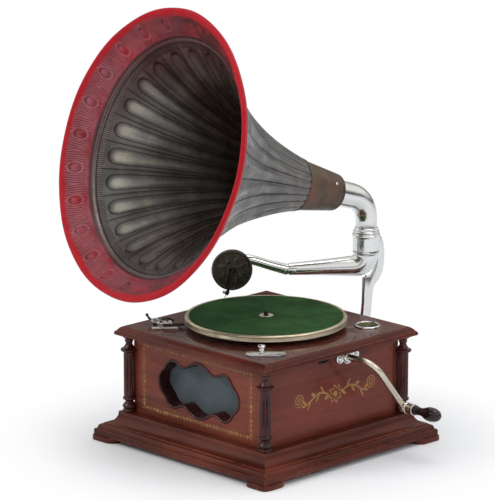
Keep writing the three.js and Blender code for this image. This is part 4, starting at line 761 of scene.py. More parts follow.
def swept(points, radii, sides=32, hint=Vector((0, 0, 1))):
    """A round bar through points, with a radius at each."""
    shape = bmesh.new()
    points = [Vector(p) for p in points]
    rings = []
    heading = (points[1] - points[0]).normalized()
    side = hint.cross(heading)
    if side.length < 0.1:
        side = Vector((0, 1, 0)).cross(heading)
    side.normalize()
    for i, point in enumerate(points):
        before = points[max(i - 1, 0)]
        after = points[min(i + 1, len(points) - 1)]
        tangent = (after - before).normalized()
        side = (side - tangent * side.dot(tangent)).normalized()
        across = tangent.cross(side)
        ring = []
        for k in range(sides):
            angle = 2 * PI * k / sides
            offset = (side * math.cos(angle) + across * math.sin(angle)) * radii[i]
            ring.append(shape.verts.new(point + offset))
        rings.append(ring)
    ring_faces(shape, rings)
    shape.faces.new(rings[0])
    shape.faces.new(list(reversed(rings[-1])))
    return shape


def curve_point(a, b, c, d, t):
    """A point of a Catmull-Rom curve between b and c."""
    square = (a * 2 - b * 5 + c * 4 - d) * t * t
    return 0.5 * (b * 2 + (c - a) * t + square + (b * 3 - a - c * 3 + d) * t ** 3)


def smooth_path(points, steps=8):
    """A smooth curve through the points."""
    points = [Vector(p) for p in points]
    out = []
    for i in range(len(points) - 1):
        a = points[i - 1] if i else points[0] * 2 - points[1]
        d = points[i + 2] if i + 2 < len(points) else points[-1] * 2 - points[-2]
        out += [curve_point(a, points[i], points[i + 1], d, step / steps) for step in range(steps)]
    out.append(points[-1])
    return out


def merge(*shapes):
    whole = bmesh.new()
    for shape in shapes:
        mesh = bpy.data.meshes.new("part")
        shape.to_mesh(mesh)
        shape.free()
        whole.from_mesh(mesh)
        bpy.data.meshes.remove(mesh)
    return whole


def moved(shape, matrix):
    bmesh.ops.transform(shape, matrix=matrix, verts=shape.verts)
    return shape


def at(x, y, z):
    return Matrix.Translation((x, y, z))


def turn(axis, angle):
    return Matrix.Rotation(angle, 4, axis)


def ball(radius, sides, rows, centre=(0, 0, 0)):
    shape = bmesh.new()
    bmesh.ops.create_uvsphere(shape, u_segments=sides, v_segments=rows, radius=radius)
    return moved(shape, at(*centre))


def thicken(piece, thickness):
    solid = piece.modifiers.new("thickness", "SOLIDIFY")
    solid.thickness = thickness * MM
    solid.offset = 0


def paint_faces(piece, material, chosen):
    """Gives the faces that are chosen a second material."""
    piece.data.materials.append(material)
    for face in piece.data.polygons:
        if chosen(face):
            face.material_index = 1


ALONG_X = turn("Y", PI / 2)
ALONG_Y = turn("X", -PI / 2)
CRANK = at(0, 31, 158)

# ---------------------------------------------------------------- case


def cove(inner, outer, low, high, steps=10):
    """The hollow of a cove moulding, from its foot at (outer, low) up to (inner, high)."""
    points = []
    for i in range(steps + 1):
        angle = (PI / 2) * (1 - i / steps)
        across = inner + (outer - inner) * (1 - math.cos(angle))
        points.append((across, high - (high - low) * math.sin(angle)))
    return points


def add_plinth():
    z = PLINTH_FOOT
    outer = [
        (128, z), (191.4, z), (191.4, z + 7.4), (190.6, z + 9.2), (188.6, z + 10.2),
        (187.2, z + 10.4), (187.2, z + 12.4), (186.6, z + 14.2), (185.2, z + 15.9), (183.3, z + 17.0),
        (180.2, z + 17.4), (180.2, z + 18.6),
    ]
    hollow = cove(163.7, 179.4, z + 19.2, z + 36.4, 12)
    top = [(163.7, z + 37.7), (128, z + 37.7)]
    finish_piece("plinth_moulding", mitred(outer + hollow + top), PLINTH_WOOD, "cabinet", "plinth", crease=24)


def foot_outline():
    length, width = 50, 32
    tip = width / 2
    points = [(-length + tip, -width), (-width - 3, -width), (-width, -width - 3), (-width, -length + tip)]
    points += arc_points(-tip, -length + tip, tip, PI, 2 * PI, 10)[1:]
    points += [(0, -12)]
    points += arc_points(-9, -9, 9, 0, PI / 2, 6)
    points += arc_points(-length + tip, -tip, tip, PI / 2, 1.5 * PI, 10)
    return points


def add_feet():
    for corner, quarter, sx, sy in (
        ("front_left", 2, -1, -1), ("front_right", 3, 1, -1),
        ("back_right", 0, 1, 1), ("back_left", 1, -1, 1),
    ):
        place = at(FOOT_REACH * sx, FOOT_REACH * sy, 0) @ turn("Z", quarter * PI / 2)
        foot = slab(foot_outline(), 0, 8, 1.2)
        finish_piece(f"bracket_foot_{corner}", foot, PLINTH_WOOD, "cabinet", f"foot_{corner}", place)


def add_columns():
    shaft_foot, shaft_top = 27.3, 95.3
    grooves, groove_depth = 12, 0.15
    base = rounded([
        (0, 0, 0), (10.6, 0, 0.3), (10.6, 3.0, 0.8), (8.6, 4.4, 0.8), (11.7, 8.4, 3), (9.2, 12.6, 1.5),
        (6.2, 15.6, 2), (7.4, 18.0, 1), (10.6, 20.0, 1.6), (10.2, 23.4, 1.6), (8.0, 24.8, 0.6),
        (8.8, 26.2, 0.6),
    ], steps=4)
    shaft = [(8.8, shaft_foot + (shaft_top - shaft_foot) * i / 8) for i in range(9)]
    cap = rounded([
        (8.8, 96.2, 0.5), (10.6, 97.0, 0.8), (13.7, 99.2, 1.6), (13.2, 101.6, 1.4), (9.6, 103.0, 1),
        (7.0, 106.4, 2), (4.9, 110.6, 2), (6.8, 114.0, 1.4), (6.6, 117.8, 1.2), (8.6, 119.6, 0.8),
        (10.4, 121.0, 0.8), (10.4, 123.4, 0.3), (0, 123.4, 0),
    ], steps=4)
    profile = base + shaft + cap
    first, last = len(base), len(base) + len(shaft) - 1

    def fluting(angle, row):
        if row <= first or row >= last:
            return 1
        return 1 - groove_depth * max(0.0, math.cos(angle * grooves)) ** 0.6

    for corner, x, y in (
        ("front_left", -1, -1), ("front_right", 1, -1), ("back_left", -1, 1), ("back_right", 1, 1),
    ):
        place = at(COLUMN_AT * x, COLUMN_AT * y, WALL_FOOT)
        column = turned(profile, 96, wobble=fluting)
        finish_piece(f"turned_column_{corner}", column, COLUMN_WOOD, "cabinet", f"column_{corner}", place,
                     crease=40)


# One quarter of the window's wavy outline, from its middle top round to the middle of its right side.
WINDOW_QUARTER = [
    (0, 45), (8, 44), (15, 41.6), (22, 37.6), (28, 34), (33, 32.6), (38, 32.8), (44, 35), (50, 37.6),
    (57, 38.8), (64, 37), (70, 32.6), (73.8, 27.6), (76.2, 24), (80, 20.4), (85.2, 15.4), (89, 8.6),
    (90.4, 0),
]


def window_outline(offset):
    """The closed outline as (x, z), moved outward by an offset."""
    right = WINDOW_QUARTER + [(x, -z) for x, z in WINDOW_QUARTER[-2::-1]]
    whole = right + [(-x, z) for x, z in right[-2:0:-1]]
    count = len(whole)
    smooth = []
    for i in range(count):
        around = [Vector(whole[(i + k - 1) % count]) for k in range(4)]
        smooth += [curve_point(*around, step / 4) for step in range(4)]
    points = []
    for i, point in enumerate(smooth):
        along = (smooth[(i + 1) % len(smooth)] - smooth[i - 1]).normalized()
        points.append((point.x - along.y * offset, point.y + along.x * offset))
    return points


def cut_solid(name, solid, *tools):
    """The mesh, in millimetres, that is left of a solid when the tools are taken away."""
    things = []
    for shape in (solid, *tools):
        bmesh.ops.recalc_face_normals(shape, faces=shape.faces)
        mesh = bpy.data.meshes.new(name)
        shape.to_mesh(mesh)
        shape.free()
        thing = bpy.data.objects.new(name, mesh)
        bpy.context.scene.collection.objects.link(thing)
        things.append(thing)
    for tool in things[1:]:
        bore = things[0].modifiers.new("bore", "BOOLEAN")
        bore.operation = "DIFFERENCE"
        bore.solver = "EXACT"
        bore.object = tool
    bpy.context.view_layer.update()
    result = bmesh.new()
    depsgraph = bpy.context.evaluated_depsgraph_get()
    mesh = bpy.data.meshes.new_from_object(things[0].evaluated_get(depsgraph))
    result.from_mesh(mesh)
    bpy.data.meshes.remove(mesh)
    for thing in things:
        bpy.data.objects.remove(thing)
    return result


def box(x0, y0, z0, x1, y1, z1):
    shape = bmesh.new()
    bmesh.ops.create_cube(shape, size=1)
    middle = at((x0 + x1) / 2, (y0 + y1) / 2, (z0 + z1) / 2)
    return moved(shape, middle @ Matrix.Diagonal((x1 - x0, y1 - y0, z1 - z0, 1)))


def window_rings(shape, section):
    """Rings of vertices that follow the window's outline: an outward offset and a y for each."""
    return [
        [shape.verts.new((x, y, WINDOW_Z + z)) for x, z in window_outline(offset)]
        for offset, y in section
    ]


def add_front_panel():
    hole = bmesh.new()
    rings = window_rings(hole, [(-1.2, -PANEL - 5), (-1.2, -PANEL + 20)])
    ring_faces(hole, rings)
    hole.faces.new(rings[0])
    hole.faces.new(rings[1])
    panel = cut_solid("front", box(-PANEL, -PANEL, WALL_FOOT, PANEL, -PANEL + 12, WALL_TOP), hole)
    front_wood = varnished(
        "front_mahogany", "x", (0.092, 0.016, 0.009), (0.180, 0.038, 0.020), (0.245, 0.060, 0.033),
        gloss=0.3, ornament=stencilled_border,
    )
    finish_piece("gilded_front_panel", panel, front_wood, "cabinet", "front_panel")


def add_window_lip():
    shape = bmesh.new()
    # (outward offset of the outline, distance in front of the panel's face)
    section = [
        (-3.6, -21.0), (-3.6, -2.0), (-3.4, 0.2), (-2.7, 1.3), (-1.6, 1.8), (-0.4, 1.7), (0.6, 1.0),
        (0.9, 0.3), (0.8, 0.02), (-1.5, 0.02), (-1.5, -21.0),
    ]
    rings = window_rings(shape, [(offset, -PANEL - proud) for offset, proud in section])
    ring_faces(shape, rings, closed_along=True)
    finish_piece("window_lobed_lip", shape, SHADED_LIP_WOOD, "cabinet", "window_moulding", crease=50)


def add_window_cloth():
    cloth = bmesh.new()
    half_x, half_z, cloth_y = 91, 45.5, -124.6
    across, upward = 40, 20
    rows = []
    for j in range(upward + 1):
        row = []
        v = 2 * j / upward - 1
        for i in range(across + 1):
            u = 2 * i / across - 1
            sag = 0.5 * (1 - u * u) * (1 - v * v) + 0.12 * math.sin(9 * u + 2 * v) * (1 - v * v)
            row.append(cloth.verts.new((half_x * u, cloth_y + sag, WINDOW_Z + half_z * v)))
        rows.append(row)
    ring_faces(cloth, rows, closed_round=False)
    piece = finish_piece("stretched_window_cloth", cloth, CLOTH, "cabinet", "window_cloth")
    thicken(piece, 0.6)


def add_deck():
    z = DECK_FOOT
    profile = [
        (0, z), (166.4, z), (167.8, z + 0.8), (168.3, z + 2.6), (167.9, z + 5.0), (166.8, z + 6.6),
        (165.2, z + 7.4), (164.9, z + 8.2),
    ]
    shares = (0.15, 0.35, 0.55, 0.75, 0.9, 1)
    slope = [(164.6 - 6.6 * t, z + 8.4 + 5.2 * math.sin(t * PI / 2)) for t in shares]
    top = [(157.4, z + 14.3), (156.6, DECK_TOP), (0, DECK_TOP)]
    edge = mitred(profile + slope + top, closed=False)
    bmesh.ops.remove_doubles(edge, verts=edge.verts, dist=0.002)
    holes = [
        moved(turned([(0, 160), (radius, 160), (radius, 200), (0, 200)], 48), at(x, y, 0))
        for x, y, radius in ((CUP_X, CUP_Y, 18.5), (0, 0, 6.9), (KNOB_X, KNOB_Y, 2.9))
    ]
    board = cut_solid("deck", edge, *holes)
    piece = finish_piece("varnished_deck", board, EDGE_WOOD, "cabinet", "deck", crease=26)

    def on_top(face):
        return abs(face.normal.z) > 0.9 and face.center.z > (DECK_TOP - 0.3) * MM

    paint_faces(piece, DECK_WOOD, on_top)


def add_case():
    add_plinth()
    add_feet()
    add_columns()
    add_front_panel()
    add_window_lip()
    add_window_cloth()
    add_deck()


# ---------------------------------------------------------------- turntable and deck fittings


def add_turntable():
    foot, top = 192.4, 201.4
    rim = rounded([
        (5, 199.4, 0), (121.5, 199.4, 1), (124.2, 197.4, 1), (124.6, foot + 0.6, 0.4), (125.4, foot, 0.4),
        (TURNTABLE_RADIUS, foot + 0.5, 0.5), (126.6, foot + 1.8, 0.6), (126.5, top - 2.6, 0.6),
        (TURNTABLE_RADIUS, top - 1.6, 0.6), (126.4, top + 0.2, 0.8), (124.4, top + 1.1, 0.9),
        (121.6, top + 0.9, 0.5), (121.0, top, 0.2), (5, top, 0),
    ], steps=4)
    finish_piece("turntable_plate", turned(rim, 160), RIM_NICKEL, "platter", "turntable", crease=50)


def add_felt():
    felt = bmesh.new()
    rings = []
    for step in range(31):
        share = step / 30
        radius = FELT_HOLE + (FELT_EDGE - FELT_HOLE) * share
        ring = []
        for i in range(120):
            angle = 2 * PI * i / 120
            lift = 0.10 * math.sin(3 * angle + step * 0.35) * share ** 2
            ring.append(felt.verts.new((radius * math.cos(angle), radius * math.sin(angle), lift)))
        rings.append(ring)
    ring_faces(felt, rings)
    piece = finish_piece("felt_disc", felt, FELT, "platter", "turntable_felt", at(0, 0, 202.2))
    thicken(piece, 0.9)


def add_washer():
    washer = rounded([
        (4.3, 201.8), (11.4, 201.8), (11.5, 202.7), (10.6, 203.1), (5.4, 203.2), (4.3, 202.8),
    ], 0.3)
    finish_piece("pin_washer", turned(washer, 48), WORN_NICKEL, "platter", "spindle_washer")


def add_speed_control():
    place = at(116.7, -116.7, DECK_TOP + 0.3) @ turn("Z", PI / 4)
    x, y, c = 30, 15, 8
    outline = [
        (x, y - c), (x - c, y), (c - x, y), (-x, y - c),
        (-x, c - y), (c - x, -y), (x - c, -y), (x, c - y),
    ]
    rim = slab(list(reversed(outline)), 0, 2.2, 0.5)
    raised = slab([(px * 0.86, py * 0.78) for px, py in reversed(outline)], 2.0, 3.0, 0.4)
    finish_piece("speed_quadrant", merge(rim, raised), NICKEL, "cabinet", "speed_plate", place)

    foot, top = 146.6, DECK_TOP + 15.5
    knob = rounded([
        (0, foot, 0), (2.6, foot, 0.2), (2.6, top - 9.6, 0.2), (4.4, top - 9.2, 0.3), (4.2, top - 7.6, 0.5),
        (2.9, top - 6.4, 0.6), (3.4, top - 5.2, 0.4), (5.8, top - 4.0, 1.2), (5.9, top - 1.6, 1.4),
        (3.6, top - 0.2, 1.2), (0, top, 0),
    ], steps=4)
    finish_piece("speed_button", turned(knob, 40), NICKEL, "knob", "speed_knob", at(KNOB_X, KNOB_Y, 0))


def make_cup_inside():
    """Khaki paint inside the needle cup, with a worn floor."""
    material, tree, shader = new_material("cup_khaki", 0.6)
    patches = noise(tree, object_place(tree), 130.0, 4, 0.6)
    base = blend(tree, patches.smooth(0.35, 0.7), (0.16, 0.15, 0.07), (0.30, 0.28, 0.16))
    feed(tree, shader.inputs["Base Color"], base)
    bump(tree, shader, patches, 0.3, 0.0004)
    return material


def add_needle_cup():
    z = DECK_TOP
    profile = rounded([
        (0, z - 10, 0), (18.2, z - 10, 0.6), (18.2, z + 0.3, 0.1), (20.25, z + 0.3, 0.1),
        (20.25, z + 1.5, 0.5), (19.6, z + 2.9, 0.9), (17.8, z + 3.2, 0.8), (17.0, z + 2.2, 0.5),
        (16.8, z - 5, 1), (14.6, z - 8.6, 2), (0, z - 8.8, 0),
    ], steps=4)
    place = at(CUP_X, CUP_Y, 0)
    piece = finish_piece("needle_bowl", turned(profile, 72), NICKEL, "cabinet", "needle_cup", place)

    def inside(face):
        reach = math.hypot(face.center.x - CUP_X * MM, face.center.y - CUP_Y * MM)
        return reach < 17 * MM and (z - 9.5) * MM < face.center.z < (z + 1.5) * MM

    paint_faces(piece, make_cup_inside(), inside)


def dome(shank, foot, radius):
    """A domed screw: its shank's foot, its head's foot and its head's radius."""
    head = radius * 0.65
    return turned(rounded([
        (0, shank, 0), (1.5, shank, 0.2), (1.5, foot, 0.1), (radius, foot, 0.1),
        (radius, foot + head * 0.3, 0.4), (radius * 0.8, foot + head * 0.8, 0.5),
        (radius * 0.4, foot + head, 0.4), (0, foot + head, 0),
    ]), 24)


BRAKE = at(BRAKE_X, BRAKE_Y, DECK_TOP + 0.3) @ turn("Z", math.atan2(-BRAKE_Y, -BRAKE_X))
BRAKE_PIVOT = (-17, 7)
PAD_FOOT, BLADE_FOOT, HEAD_FOOT = 2.8, 6.6, 8.9


def add_brake_pad():
    # the pad stops 0.4 mm short of the turntable's rim
    reach = math.hypot(BRAKE_X, BRAKE_Y) - TURNTABLE_RADIUS - 0.4
    outline = [(-5, -5), (14.4, -5), (reach, -4.5), (reach, 3.5), (12.4, 2), (-5, 2)]
    pad = slab(outline, PAD_FOOT, PAD_FOOT + 3.5, 0.6)
    piece = finish_piece("leather_brake_pad", pad, LEATHER, "brake", "brake_pad", BRAKE)


def add_brake_blade():
    """The brake's blade, with the curved finger that swings it."""
    x, y = BRAKE_PIVOT
    outline = [
        (x - 1.5, y + 8.5), (x - 6, y + 7), (x - 5, y - 2), (x + 1, y - 5), (-6, -5.5), (10.4, -5.5),
        (10.4, 2.5), (-4, 4), (x + 4.5, y + 2),
    ]
    plate = slab(outline, BLADE_FOOT, BLADE_FOOT + 2, 0.5)
    finish_piece("brake_blade", plate, NICKEL, "brake", "brake_lever", BRAKE)
    root = Vector((x - 3.5, y + 6.5, BLADE_FOOT + 1))
    rod = smooth_path([root + Vector(p) for p in ((0, 0, 0), (-3, 6, 0.5), (-6, 12, 2), (-8, 16, 5))], 6)
    bar = swept(rod, [2.2 - 0.6 * i / (len(rod) - 1) for i in range(len(rod))], 16)
    tip = ball(2.5, 20, 14, rod[-1] - Vector((0.1, -0.2, 0.2)))
    finish_piece("brake_finger", merge(bar, tip), BROWNED, "brake", (), BRAKE)


def add_brake_spring():
    """A return spring wound round the pivot, its tail hooked over the blade."""
    x, y = BRAKE_PIVOT
    coil = []
    for i in range(29):
        angle = PI * i / 8
        height = BLADE_FOOT + 2.6 + 0.24 * angle
        coil.append(Vector((x + 5.4 * math.cos(angle), y + 5.4 * math.sin(angle), height)))
    hook = [coil[-1] + Vector(p) for p in ((0, 0, 0), (6, -1.5, 0.6), (11, -4.5, -0.8), (13, -7, -3.4))]
    coil += smooth_path(hook, 5)[1:]
    finish_piece("brake_return_spring", swept(coil, [0.6] * len(coil), 8), STEEL, "brake", (), BRAKE)


def add_brake_arm():
    """A bent arm above the screws, with a dark button at its end."""
    arm = smooth_path([(-9, -4, 9.2), (-4, 3, 12.2), (4, 5.5, 12.6), (11, 2, 10.4)], 5)
    bent = merge(swept(arm, [1.5] * len(arm), 12), ball(2.4, 16, 12, arm[-1]))
    finish_piece("brake_bent_arm", bent, BROWNED, "brake", (), BRAKE)


def add_brake_screws():
    for number, x in ((1, -2), (2, 6.4)):
        screw = dome(PAD_FOOT + 1, HEAD_FOOT, 3.2)
        finish_piece(f"brake_dome_screw_{number}", screw, WORN_NICKEL, "brake", f"brake_screw_{number}",
                     BRAKE @ at(x, -1.5, 0))
    post = turned([(0, 2.8), (3.2, 2.8), (3.2, 6.3), (0, 6.3)], 24)
    finish_piece("brake_pivot_screw", merge(dome(0, HEAD_FOOT, 4.0), post), BROWNED, "cabinet",
                 "brake_pivot", BRAKE @ at(*BRAKE_PIVOT, 0))


def add_brake():
    base = slab(rounded_rectangle(-22.5, -11, 22.5, 11, 4.5), 0, 1.5, 0.4)
    boss = slab(rounded_rectangle(-20, -8.5, 20, 8.5, 4), 1.3, 2.5, 0.5)
    finish_piece("brake_foot_plate", merge(base, boss), WORN_NICKEL, "cabinet", "brake_base", BRAKE)
    add_brake_pad()
    add_brake_blade()
    add_brake_spring()
    add_brake_arm()
    add_brake_screws()


# ---------------------------------------------------------------- winding crank


def add_crank():
    place = CRANK
    slope = math.radians(50.5)
    down = Vector((0, math.cos(slope), -math.sin(slope)))
    out = Vector((1, 0, 0))
    bend, run, throw = 24, 179, 107.6
    start = Vector((144.3, 0, 0))
    centre = Vector((run, 0, 0)) + down * bend
    points = [start, Vector((160, 0, 0))]
    for i in range(19):
        angle = (PI / 2) * i / 18
        points.append(centre - down * (bend * math.cos(angle)) + out * (bend * math.sin(angle)))
    eye = Vector((run + bend, 0, 0)) + down * throw
    points += [centre + out * bend + down * (throw - bend) * t for t in (0.3, 0.6, 0.85)]
    points.append(eye)
    radii = [5.0] * 21 + [4.85] * 3 + [4.8]
    rod = swept(points, radii, 32, hint=Vector((0, 1, 0)))
    at_eye = at(*eye) @ ALONG_X
    boss = rounded([
        (0, -5, 0), (7.2, -5, 1.2), (8.2, -1.5, 1.5), (8.2, 1.5, 1.5), (7.2, 5, 1.2), (0, 5, 0),
    ], steps=4)
    disc = moved(turned(boss, 40), at_eye)
    pin = moved(turned([(0, 0), (2.8, 0), (2.8, 54.8), (0, 54.8)], 24), at_eye)
    finish_piece("crank_rod", merge(rod, disc, pin), CRANK_NICKEL, "crank", "crank_arm", place, crease=40)
    add_grip(place @ at_eye)


def add_grip(grip):
    ferrule = rounded([
        (3.2, 5.3, 0), (7.6, 5.3, 0.5), (9.3, 6.6, 0.7), (9.0, 8.2, 0.6), (8.2, 9.2, 0.6), (8.6, 14, 1.5),
        (8.2, 20, 0.8), (9.0, 21.2, 0.5), (8.9, 22.8, 0.4), (8.2, 23.3, 0.3), (3.2, 23.3, 0),
    ], steps=4)
    finish_piece("grip_ferrule", turned(ferrule, 48), WORN_NICKEL, "grip", "crank_ferrule", grip)
    handle = rounded([
        (3.2, 23.6, 0), (7.7, 23.6, 0.4), (7.9, 25.4, 0.8), (7.0, 28.6, 1.4), (5.9, 34, 4), (6.1, 39.5, 4),
        (8.2, 45, 4), (10.6, 51.5, 4), (11.3, 57, 4), (10.9, 64, 4), (8.8, 70.6, 4), (5.0, 75, 3),
        (0, 76.1, 0),
    ], steps=5)
    wood = turned(handle, 56, closed=False)
    finish_piece("grip_handle", wood, GRIP_WOOD, "grip", "crank_handle", grip, crease=60)


def add_escutcheon():
    """The plate that the crank enters through: a round middle with a screwed ear on either side."""
    face, ear = PANEL + 0.3, 16.8

    def on_side(shape, y):
        return moved(shape, at(face, y, 0) @ ALONG_X)

    parts = []
    for radius, y in ((11, 0), (8, ear), (8, -ear)):
        parts.append(on_side(slab(arc_points(0, 0, radius, 0, 2 * PI, 40)[:-1], 0, 2.2, 0.5), y))
    boss = rounded([(5.4, 1.5, 0), (9.2, 1.5, 0.4), (8.8, 3.4, 0.8), (7.6, 5, 0.8), (5.4, 5, 0)])
    parts.append(on_side(turned(boss, 48), 0))
    head = rounded([(0, 1.8, 0), (4.2, 1.8, 0.2), (3.6, 3.0, 0.7), (1.4, 3.7, 0.6), (0, 3.7, 0)])
    for y in (-ear, ear):
        parts.append(on_side(turned(head, 28), y))
    finish_piece("crank_escutcheon", merge(*parts), NICKEL, "cabinet", "escutcheon", CRANK)


# ---------------------------------------------------------------- bracket, tone arm and sound box


def quadratic(points, control, end, steps=8):
    """Goes on from a list's last point along a curve pulled towards the control point."""
    start = Vector(points[-1])
    control, end = Vector(control), Vector(end)
    for i in range(1, steps + 1):
        t = i / steps
        points.append(tuple(start.lerp(control, t).lerp(control.lerp(end, t), t)))


def add_bracket():
    p, below, foot, top = PIVOT_Y, 223.5, 264.4, 297
    inside = 22.1 + p
    outline = [(150.3, 66)]
    quadratic(outline, (p - 8, 84), (p + 10, below - 62))
    outline.append((p + 12, below - 40))
    quadratic(outline, (p + 14, below - 16), (p + 22, below - 12))
    quadratic(outline, (p + 40, below - 2), (p + 40, foot - 12))
    quadratic(outline, (p + 40, top - 10), (inside + 2, top - 6))
    outline += [(inside - 3, top - 6), (inside - 3, foot + 2)]
    quadratic(outline, (inside + 6, foot - 8), (inside + 1, foot - 22))
    quadratic(outline, (inside - 8, below + 1), (p + 8, below))
    outline += [(p - 6, below), (p - 7, below - 40), (p - 9, below - 58)]
    quadratic(outline, (p - 16, 136), (150.3, 134))
    web = slab(list(reversed(outline)), -3.5, 3.5, 1.6)
    moved(web, turn("Z", PI / 2) @ turn("X", PI / 2))
    sleeve = moved(turned(rounded([
        (18.4, foot, 0), (21.2, foot, 0.6), (22.1, foot + 1.6, 0.8), (21.6, foot + 3.4, 0.8),
        (21.2, foot + 5, 0.8), (21.3, top - 6, 0.8), (22.3, top - 4.6, 0.8), (22.3, top - 2.4, 0.8),
        (21.4, top - 0.9, 0.6), (20.6, top, 0.4), (18.4, top, 0),
    ], steps=4), 72), at(0, p, 0))
    plate = slab(rounded_rectangle(-28, 60, 28, 156, 10), 0, 5, 1.2)
    moved(plate, at(0, 151.3, 0) @ turn("X", PI / 2))
    finish_piece("horn_bracket", merge(web, sleeve, plate), NICKEL, "cabinet", "bracket", crease=40)
    for number, x, z in ((1, -16, 72), (2, 16, 144)):
        screw = turned(rounded([
            (0, -8, 0), (2.2, -7, 0.2), (2.2, 5.3, 0.1), (5, 5.3, 0.2), (4.5, 7.2, 0.8), (2, 8.3, 0.8),
            (0, 8.3, 0),
        ]), 28)
        finish_piece(f"bracket_round_screw_{number}", screw, WORN_NICKEL, "cabinet",
                     f"bracket_screw_{number}", at(x, 146.3, z) @ ALONG_Y)


ARM_BEND, ARM_THICK, ARM_THIN = 21, 16.7, 9.4
ARM = at(0, PIVOT_Y, 0) @ turn("Z", -math.radians(123.3))
LIFTED = ARM @ at(KINK, 0, ARM_Z)
SOUND_BOX = ARM @ at(BOX_AT, 6.3, BOX_Z) @ turn("X", -PI / 2)


def arm_radius(along):
    """The tone arm's taper, from its bend to the kink where the neck is hinged."""
    past = max(0.0, along - ARM_BEND)
    return ARM_THIN + (ARM_THICK - ARM_THIN) * (1 - past / (KINK - ARM_BEND)) ** 1.25


def add_tone_arm():
    points, radii = [], []

    def station(point, radius):
        points.append(Vector(point))
        radii.append(radius)

    for z in (280, 272, 264.3):
        station((0, 0, z), 18.0)
    station((0, 0, 263.9), 19.6)
    centre = Vector((ARM_BEND, 0, ARM_Z + ARM_BEND))
    for i in range(1, 25):
        t = i / 24
        angle = (PI / 2) * t
        # the heel of the bend is fuller than its throat
        spoke = Vector((-math.cos(angle), 0, -math.sin(angle)))
        station(centre + spoke * ARM_BEND, 20 + (ARM_THICK - 20) * t ** 2)
    lip = KINK - 4.3
    for i in range(1, 25):
        along = ARM_BEND + (lip - ARM_BEND) * i / 24
        station((along, 0, ARM_Z), arm_radius(along))
    tube = swept(points, radii, 56, hint=Vector((0, 1, 0)))
    ears = []
    for way in (1, -1):
        end = arc_points(KINK, 0, 4.5, -PI / 2, PI / 2, 12)[1:]
        ear = slab([(KINK - 15, -4.2), (KINK, -4.5)] + end + [(KINK - 15, 4.2)], 0, 1.6, 0.4)
        moved(ear, at(0, 9.3 if way > 0 else -10.9, ARM_Z) @ turn("X", PI / 2) @ at(0, 0, -1.6))
        ears.append(ear)
    finish_piece("tone_arm_tube", merge(tube, *ears), NICKEL, "arm", "tone_arm", ARM, crease=40)


def add_gooseneck():
    end_y = 6.0
    path = smooth_path([
        (0, 0, 0), (14, 0, 4.3), (29.7, 0, 9.3), (50, 0, 16.4), (64.4, -0.6, 19.4), (78.4, -3.4, 14.4),
        (88.2, -0.4 + end_y / 3, 8.1), (90.4, end_y, 6.9),
    ], 6)
    lengths = [0.0]
    for a, b in zip(path, path[1:]):
        lengths.append(lengths[-1] + (b - a).length)
    tube = swept(path, [7.7 + 0.9 * max(0, 1 - s / 30) for s in lengths], 40)
    whole = merge(tube, ball(8.8, 36, 24))
    finish_piece("tone_arm_gooseneck", whole, NICKEL, "neck", "neck", LIFTED, crease=40)


def new_maker_tree(name, counts, sizes):
    """A Geometry Nodes tree with counts, sizes and a finish for inputs; returns it with its two ends."""
    tree = bpy.data.node_groups.new(name, "GeometryNodeTree")
    tree.is_modifier = True
    face = tree.interface
    face.new_socket("Geometry", in_out="INPUT", socket_type="NodeSocketGeometry")
    for kind, table in (("NodeSocketInt", counts), ("NodeSocketFloat", sizes)):
        for label, default in table.items():
            face.new_socket(label, in_out="INPUT", socket_type=kind).default_value = default
    face.new_socket("Finish", in_out="INPUT", socket_type="NodeSocketMaterial")
    face.new_socket("Geometry", in_out="OUTPUT", socket_type="NodeSocketGeometry")
    return tree, tree.nodes.new("NodeGroupInput"), tree.nodes.new("NodeGroupOutput")


def end_maker_tree(tree, shape, start, end):
    """Makes a tree's shape real and gives it the finish."""
    real = tree.nodes.new("GeometryNodeRealizeInstances")
    coat = tree.nodes.new("GeometryNodeSetMaterial")
    tree.links.new(shape, real.inputs[0])
    tree.links.new(real.outputs[0], coat.inputs["Geometry"])
    tree.links.new(start.outputs["Finish"], coat.inputs["Material"])
    tree.links.new(coat.outputs[0], end.inputs[0])


